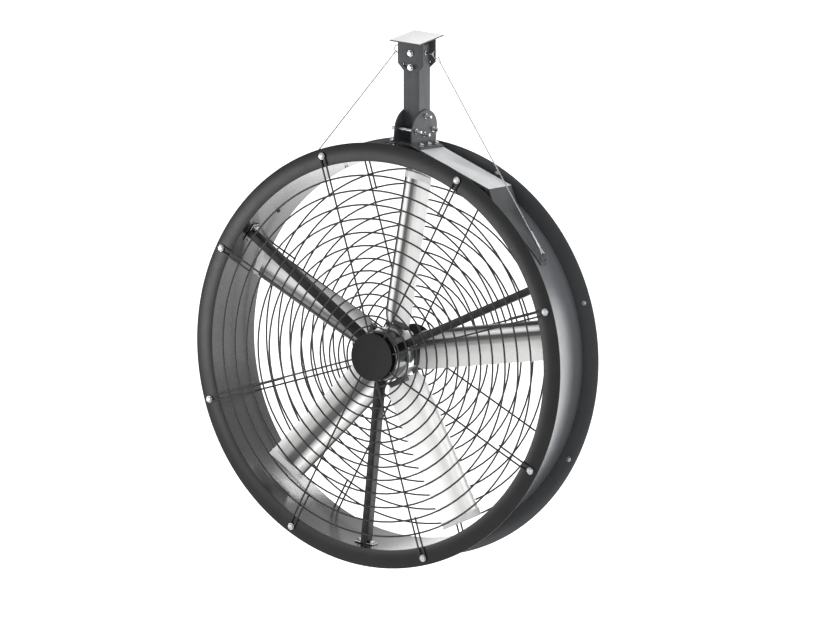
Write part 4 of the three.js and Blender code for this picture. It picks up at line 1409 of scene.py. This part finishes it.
# ---- stays ------------------------------------------------------------------------------------------
@dataclass
class Stays:
    """Wire-rope stays with end loops, ferrules and a tensioner sleeve, and the eyes that hold them.

    sleeve_ends and ferrule_ends run from the rope's lower and upper end; anchor_washer is a radius
    and a thickness.
    """

    post_eye: Vector = field(default_factory=lambda: SLOPE_PIVOT + Vector((78, 0, -3)) * MM)
    anchor_ring: float = 10 * MM
    post_ring: float = 13 * MM
    eye_wire: float = 1.5 * MM
    rope_r: float = 2.3 * MM
    loop_r: float = 8.0 * MM
    loop_length: float = 30 * MM
    lay_length: float = 34 * MM
    strands: int = 6
    throat_in: float = 1.4 * MM
    sleeve_r: float = 4.6 * MM
    sleeve_ends: tuple[float, float] = (-6 * MM, 58 * MM)
    ferrule_r: float = 2.8 * MM
    ferrule_ends: tuple[float, float] = (-40 * MM, 6 * MM)
    shank_r: float = 3.8 * MM
    shank_past: float = 8 * MM
    nut_r: float = 7.4 * MM
    nut_h: float = 5 * MM
    post_grip: float = 3.2 * MM + 2 * SEAT_GAP
    anchor_r: float = 706.3 * MM
    anchor_seat: float = 13.8 * MM
    anchor_washer: tuple[float, float] = (9 * MM, 1.5 * MM)
    anchor_nut: float = 22.2 * MM

    def axis(self) -> tuple[Vector, Vector, float]:
        """Works out the right stay's line.

        Returns:
            The stay's lower hold, its direction and its length.
        """
        start = Vector(JOINTS["right_stay_turn"]["pos_m"])
        way = (self.post_eye - start).normalized()
        end = self.post_eye - way * self.post_ring * math.cos(math.pi / 12)
        return start, way, (end - start).length

    def rope(self, low: float, high: float) -> Piece:
        """Laid rope along +Z: strands wound round a core.

        Args:
            low: Its lower end.
            high: Its upper end.

        Returns:
            The rope.
        """
        strand_r = self.rope_r * 0.36
        core = Bench.round_bar(self.rope_r * 0.5, low, high, sides=8)
        Bench.clear()
        start = (self.rope_r - strand_r, 0, low)
        upright = (math.radians(90), 0, 0)
        bpy.ops.mesh.primitive_circle_add(
            vertices=6, radius=strand_r, fill_type="NOTHING", location=start, rotation=upright)
        strand = Bench.settle(bpy.context.object)
        turns = (high - low) / self.lay_length
        steps = int(turns * 14)
        Bench.apply(strand, "SCREW", axis="Z", angle=turns * math.tau, screw_offset=high - low, steps=steps,
                    render_steps=steps, use_merge_vertices=False)
        parts = [core]
        for index in range(self.strands):
            parts.append(Bench.twin(strand, Matrix.Rotation(index * math.tau / self.strands, 4, "Z")))
        bpy.data.objects.remove(strand)
        joined = Bench.join(parts)
        Bench.done(joined, outward=True)
        return Bench.smooth(joined, degrees=60)

    def loop(self, centre: float, way: int) -> Piece:
        """End loop: a bent wire from the throat round the eye and back.

        Args:
            centre: Height of the loop's middle.
            way: +1 if its throat is above the middle, -1 if below.

        Returns:
            The loop.
        """
        wire_r, throat, drop = self.rope_r * 0.8, way * self.loop_length * 0.8, self.loop_r - self.throat_in
        Bench.clear()
        start = Vector((self.loop_r, 0, centre))
        bpy.ops.mesh.primitive_circle_add(vertices=10, radius=wire_r, fill_type="NGON", location=start)
        wire = Bench.settle(bpy.context.object)
        Bench.edit_all(wire)
        bpy.ops.mesh.spin(steps=16, angle=way * math.pi, center=(0, 0, centre), axis=(0, 1, 0))
        Bench.extrude((drop, 0, throat))
        Bench.done(wire)
        leg = Bench.round_bar(wire_r, 0, abs(throat) + 1 * MM, sides=10)
        lean = Matrix.Rotation(-math.atan2(drop, abs(throat)), 4, "Y")
        leg.data.transform(Matrix.Translation(start) @ Matrix.Scale(way, 4, (0, 0, 1)) @ lean)
        Bench.join([wire, leg])
        Bench.done(wire, outward=True)
        return Bench.smooth(wire, degrees=60)

    def stay(self, length: float) -> Piece:
        """The whole right stay along +Z from its lower eye's wire.

        Args:
            length: Its length from hold to hold.

        Returns:
            The stay.
        """
        seat = self.loop_r - (self.rope_r + 3 * MM) * math.sqrt(0.5) - SEAT_GAP
        low, high = seat + self.loop_length, length - self.loop_length
        bottom, top = self.sleeve_ends
        sleeve = Bench.round_bar(self.sleeve_r, low + bottom, low + top, sides=24, bevel=1.4 * MM)
        bottom, top = self.ferrule_ends
        ferrule = Bench.round_bar(self.ferrule_r, high + bottom, high + top, sides=24, bevel=1.2 * MM)
        pieces = [self.rope(low, high), self.loop(seat, 1), self.loop(length, -1), sleeve, ferrule]
        return Bench.smooth(Bench.join(pieces), degrees=45)

    def eye(self, ring: float, reach: float, nuts: Sequence[float]) -> Piece:
        """Eye bolt: its ring about the origin in the plane Y = 0, its shank down -Z.

        Args:
            ring: The ring's radius.
            reach: How far down the shank ends.
            nuts: Heights of the nuts' lower faces.

        Returns:
            The eye bolt.
        """
        Bench.clear()
        bpy.ops.mesh.primitive_torus_add(
            major_radius=ring, minor_radius=self.eye_wire, major_segments=40, minor_segments=12)
        loop = Bench.settle(bpy.context.object, FRONTWARD)
        parts = [loop, Bench.round_bar(self.shank_r, -reach, -ring, sides=16, bevel=0.6 * MM)]
        for height in nuts:
            parts.append(Hardware.hex_part(self.nut_r, height, height + self.nut_h))
        return Bench.smooth(Bench.join(parts), degrees=40)

    def post_eyes(self) -> None:
        """Places the eye bolts on the post, one nut on each side of the tube's wall."""
        near = self.post_eye.x - POST_HALF - SEAT_GAP
        far = near + self.post_grip
        eye = self.eye(self.post_ring, far + self.shank_past, [-near, -far - self.nut_h])
        eye.data.transform(Matrix.Translation(self.post_eye) @ SIDEWARD @ HALF_TURN_Z)
        left = Bench.twin(eye, HALF_TURN_Z)
        keep(left, "left_post_eye", "post", Finish.DULL_ZINC, ["left_eye_bolt"])
        keep(eye, "right_post_eye", "post", Finish.ZINC, ["right_eye_bolt"])

    def anchors(self) -> None:
        """Places the eyes on the drum's shoulders and their nuts inside the wall."""
        eye = self.eye(self.anchor_ring, self.anchor_nut + self.shank_past, [])
        washer_r, washer_t = self.anchor_washer
        seat = -self.anchor_seat
        washer = Bench.round_bar(washer_r, seat, seat + washer_t, sides=24, bevel=0.4 * MM)
        eye = Bench.smooth(Bench.join([eye, washer]), degrees=40)
        nut = Bench.smooth(Hardware.hex_part(self.nut_r, -self.anchor_nut - self.nut_h, -self.anchor_nut))
        for side, sign in SIDES:
            seat = DRUM @ about_axis(sign * ANCHOR_DEG) @ Matrix.Translation((0, YOKE.y, self.anchor_r))
            node = f"{side}_stay_anchor"
            keep(Bench.twin(eye, seat), f"{side}_anchor_eye", "drum", Finish.DULL_ZINC, [node])
            keep(Bench.twin(nut, seat), f"{side}_anchor_nut", "drum", Finish.WALL)
        bpy.data.objects.remove(eye)
        bpy.data.objects.remove(nut)

    def build(self) -> None:
        """Builds both stays and their four eyes."""
        start, way, length = self.axis()
        side = Vector((0, 1, 0)) - way * way.y
        side.normalize()
        basis = Matrix((side, way.cross(side), way)).transposed().to_4x4()
        basis.translation = start
        right = self.stay(length)
        right.data.transform(basis)
        left = Bench.twin(right, Matrix.Scale(-1, 4, (1, 0, 0)))
        keep(right, "right_rope_stay", "right_stay", Finish.ROPE, ["right_stay"])
        keep(left, "left_rope_stay", "left_stay", Finish.ROPE, ["left_stay"])
        self.post_eyes()
        self.anchors()


# ---- studio -----------------------------------------------------------------------------------------
@dataclass
class Studio:
    """Pale floor far below the fan, soft lamps and the camera."""

    target: Point = (0.1101, -0.1552, -0.9512)
    eye: Point = (6.456, -10.291, 3.136)
    lens: float = 154.98
    floor: float = -4.6
    world_light: float = 0.72
    floor_glow: float = 0.8

    def camera(self) -> None:
        """Sets the camera at the photograph's place and angle."""
        data = bpy.data.cameras.new("studio_camera")
        data.lens = self.lens
        data.sensor_width = 36
        data.sensor_fit = "HORIZONTAL"
        data.clip_end = 100
        camera = bpy.data.objects.new("studio_camera", data)
        camera.location = self.eye
        look = Vector(self.target) - Vector(self.eye)
        camera.rotation_euler = look.to_track_quat("-Z", "Y").to_euler()
        bpy.context.scene.collection.objects.link(camera)
        bpy.context.scene.camera = camera

    @staticmethod
    def seen(tree: bpy.types.NodeTree) -> Socket:
        """Gives 1 for rays that show the background: camera, glossy and transmission rays.

        Args:
            tree: The node tree that the test is added to.

        Returns:
            The test's socket.
        """
        path = tree.nodes.new("ShaderNodeLightPath")
        any_of = path.outputs["Is Camera Ray"]
        for kind in ("Is Glossy Ray", "Is Transmission Ray"):
            either = tree.nodes.new("ShaderNodeMath")
            either.operation = "MAXIMUM"
            tree.links.new(any_of, either.inputs[0])
            tree.links.new(path.outputs[kind], either.inputs[1])
            any_of = either.outputs[0]
        return any_of

    def world(self) -> None:
        """Makes an even pale world that shows white."""
        world = bpy.data.worlds.new("studio_world")
        bpy.context.scene.world = world
        world.use_nodes = True
        tree = world.node_tree
        light = tree.nodes["Background"]
        light.inputs["Color"].default_value = (1, 1, 1, 1)
        strength = tree.nodes.new("ShaderNodeMapRange")
        strength.inputs["To Min"].default_value = self.world_light
        strength.inputs["To Max"].default_value = 1.0
        tree.links.new(self.seen(tree), strength.inputs["Value"])
        tree.links.new(strength.outputs["Result"], light.inputs["Strength"])

    def ground(self) -> None:
        """Lays the pale floor."""
        Bench.clear()
        bpy.ops.mesh.primitive_plane_add(size=90, location=(0, 0, self.floor))
        floor = Bench.settle(bpy.context.object)
        floor.name = "studio_floor"
        nodes = Nodes("floor_pale")
        nodes.preset(Roughness=0.9)
        speck = nodes.spread(nodes.noise(nodes.coords(), scale=3), 0, 1)
        nodes.feed("Base Color", nodes.blend(speck, (0.88, 0.88, 0.88), (0.9, 0.9, 0.9)))
        glow = nodes.add("ShaderNodeMath", operation="MULTIPLY")
        glow.inputs[1].default_value = self.floor_glow
        nodes.link(self.seen(nodes.tree), glow.inputs[0])
        nodes.shader.inputs["Emission Color"].default_value = (1, 1, 1, 1)
        nodes.feed("Emission Strength", glow.outputs[0])
        floor.data.materials.append(nodes.material)

    @staticmethod
    def softbox(name: str, place: Point, aim: Point, size: tuple[float, float], power: float) -> None:
        """Adds a soft rectangular lamp.

        Args:
            name: The lamp's name.
            place: Where it stands.
            aim: What it points at.
            size: Its width and height.
            power: Its power in watts.
        """
        data = bpy.data.lights.new(name, "AREA")
        data.shape = "RECTANGLE"
        data.size, data.size_y = size
        data.energy = power
        lamp = bpy.data.objects.new(name, data)
        lamp.location = place
        lamp.rotation_euler = (Vector(aim) - Vector(place)).to_track_quat("-Z", "Y").to_euler()
        bpy.context.scene.collection.objects.link(lamp)

    def build(self) -> None:
        """Builds the studio."""
        self.camera()
        self.world()
        self.ground()
        middle = (0, 0, -1)
        self.softbox("lamp_top", (0.5, 0.6, 3.2), middle, (4, 4), 110)
        self.softbox("lamp_right", (5.5, 1.5, 0.5), middle, (2.5, 4), 150)
        self.softbox("lamp_front", (4.5, -7.0, 1.0), middle, (4, 4), 330)
        self.softbox("lamp_left", (-2.3, -2.75, -1.0), (-0.7, -0.15, -0.8), (1.2, 1.2), 46)
        self.softbox("lamp_rear", (1.75, 1.5, -1.8), (0.7, -0.1, -1.1), (1.2, 2.8), 62)
        self.softbox("lamp_glint", (-0.33, 2.2, -0.63), (-0.38, -0.25, -1.67), (0.35, 0.35), 3.5)
        bpy.context.scene.view_settings.view_transform = "Standard"


def main() -> None:
    """Builds the studio and the fan."""
    logging.basicConfig(level=logging.INFO, format="%(message)s")
    for part in (Studio(), Hanger(), Drum(), Guard(), Drive(), Rotor(), Stays(), Hardware()):
        part.build()
    Bench.clear()


if __name__ == "__main__":
    main()
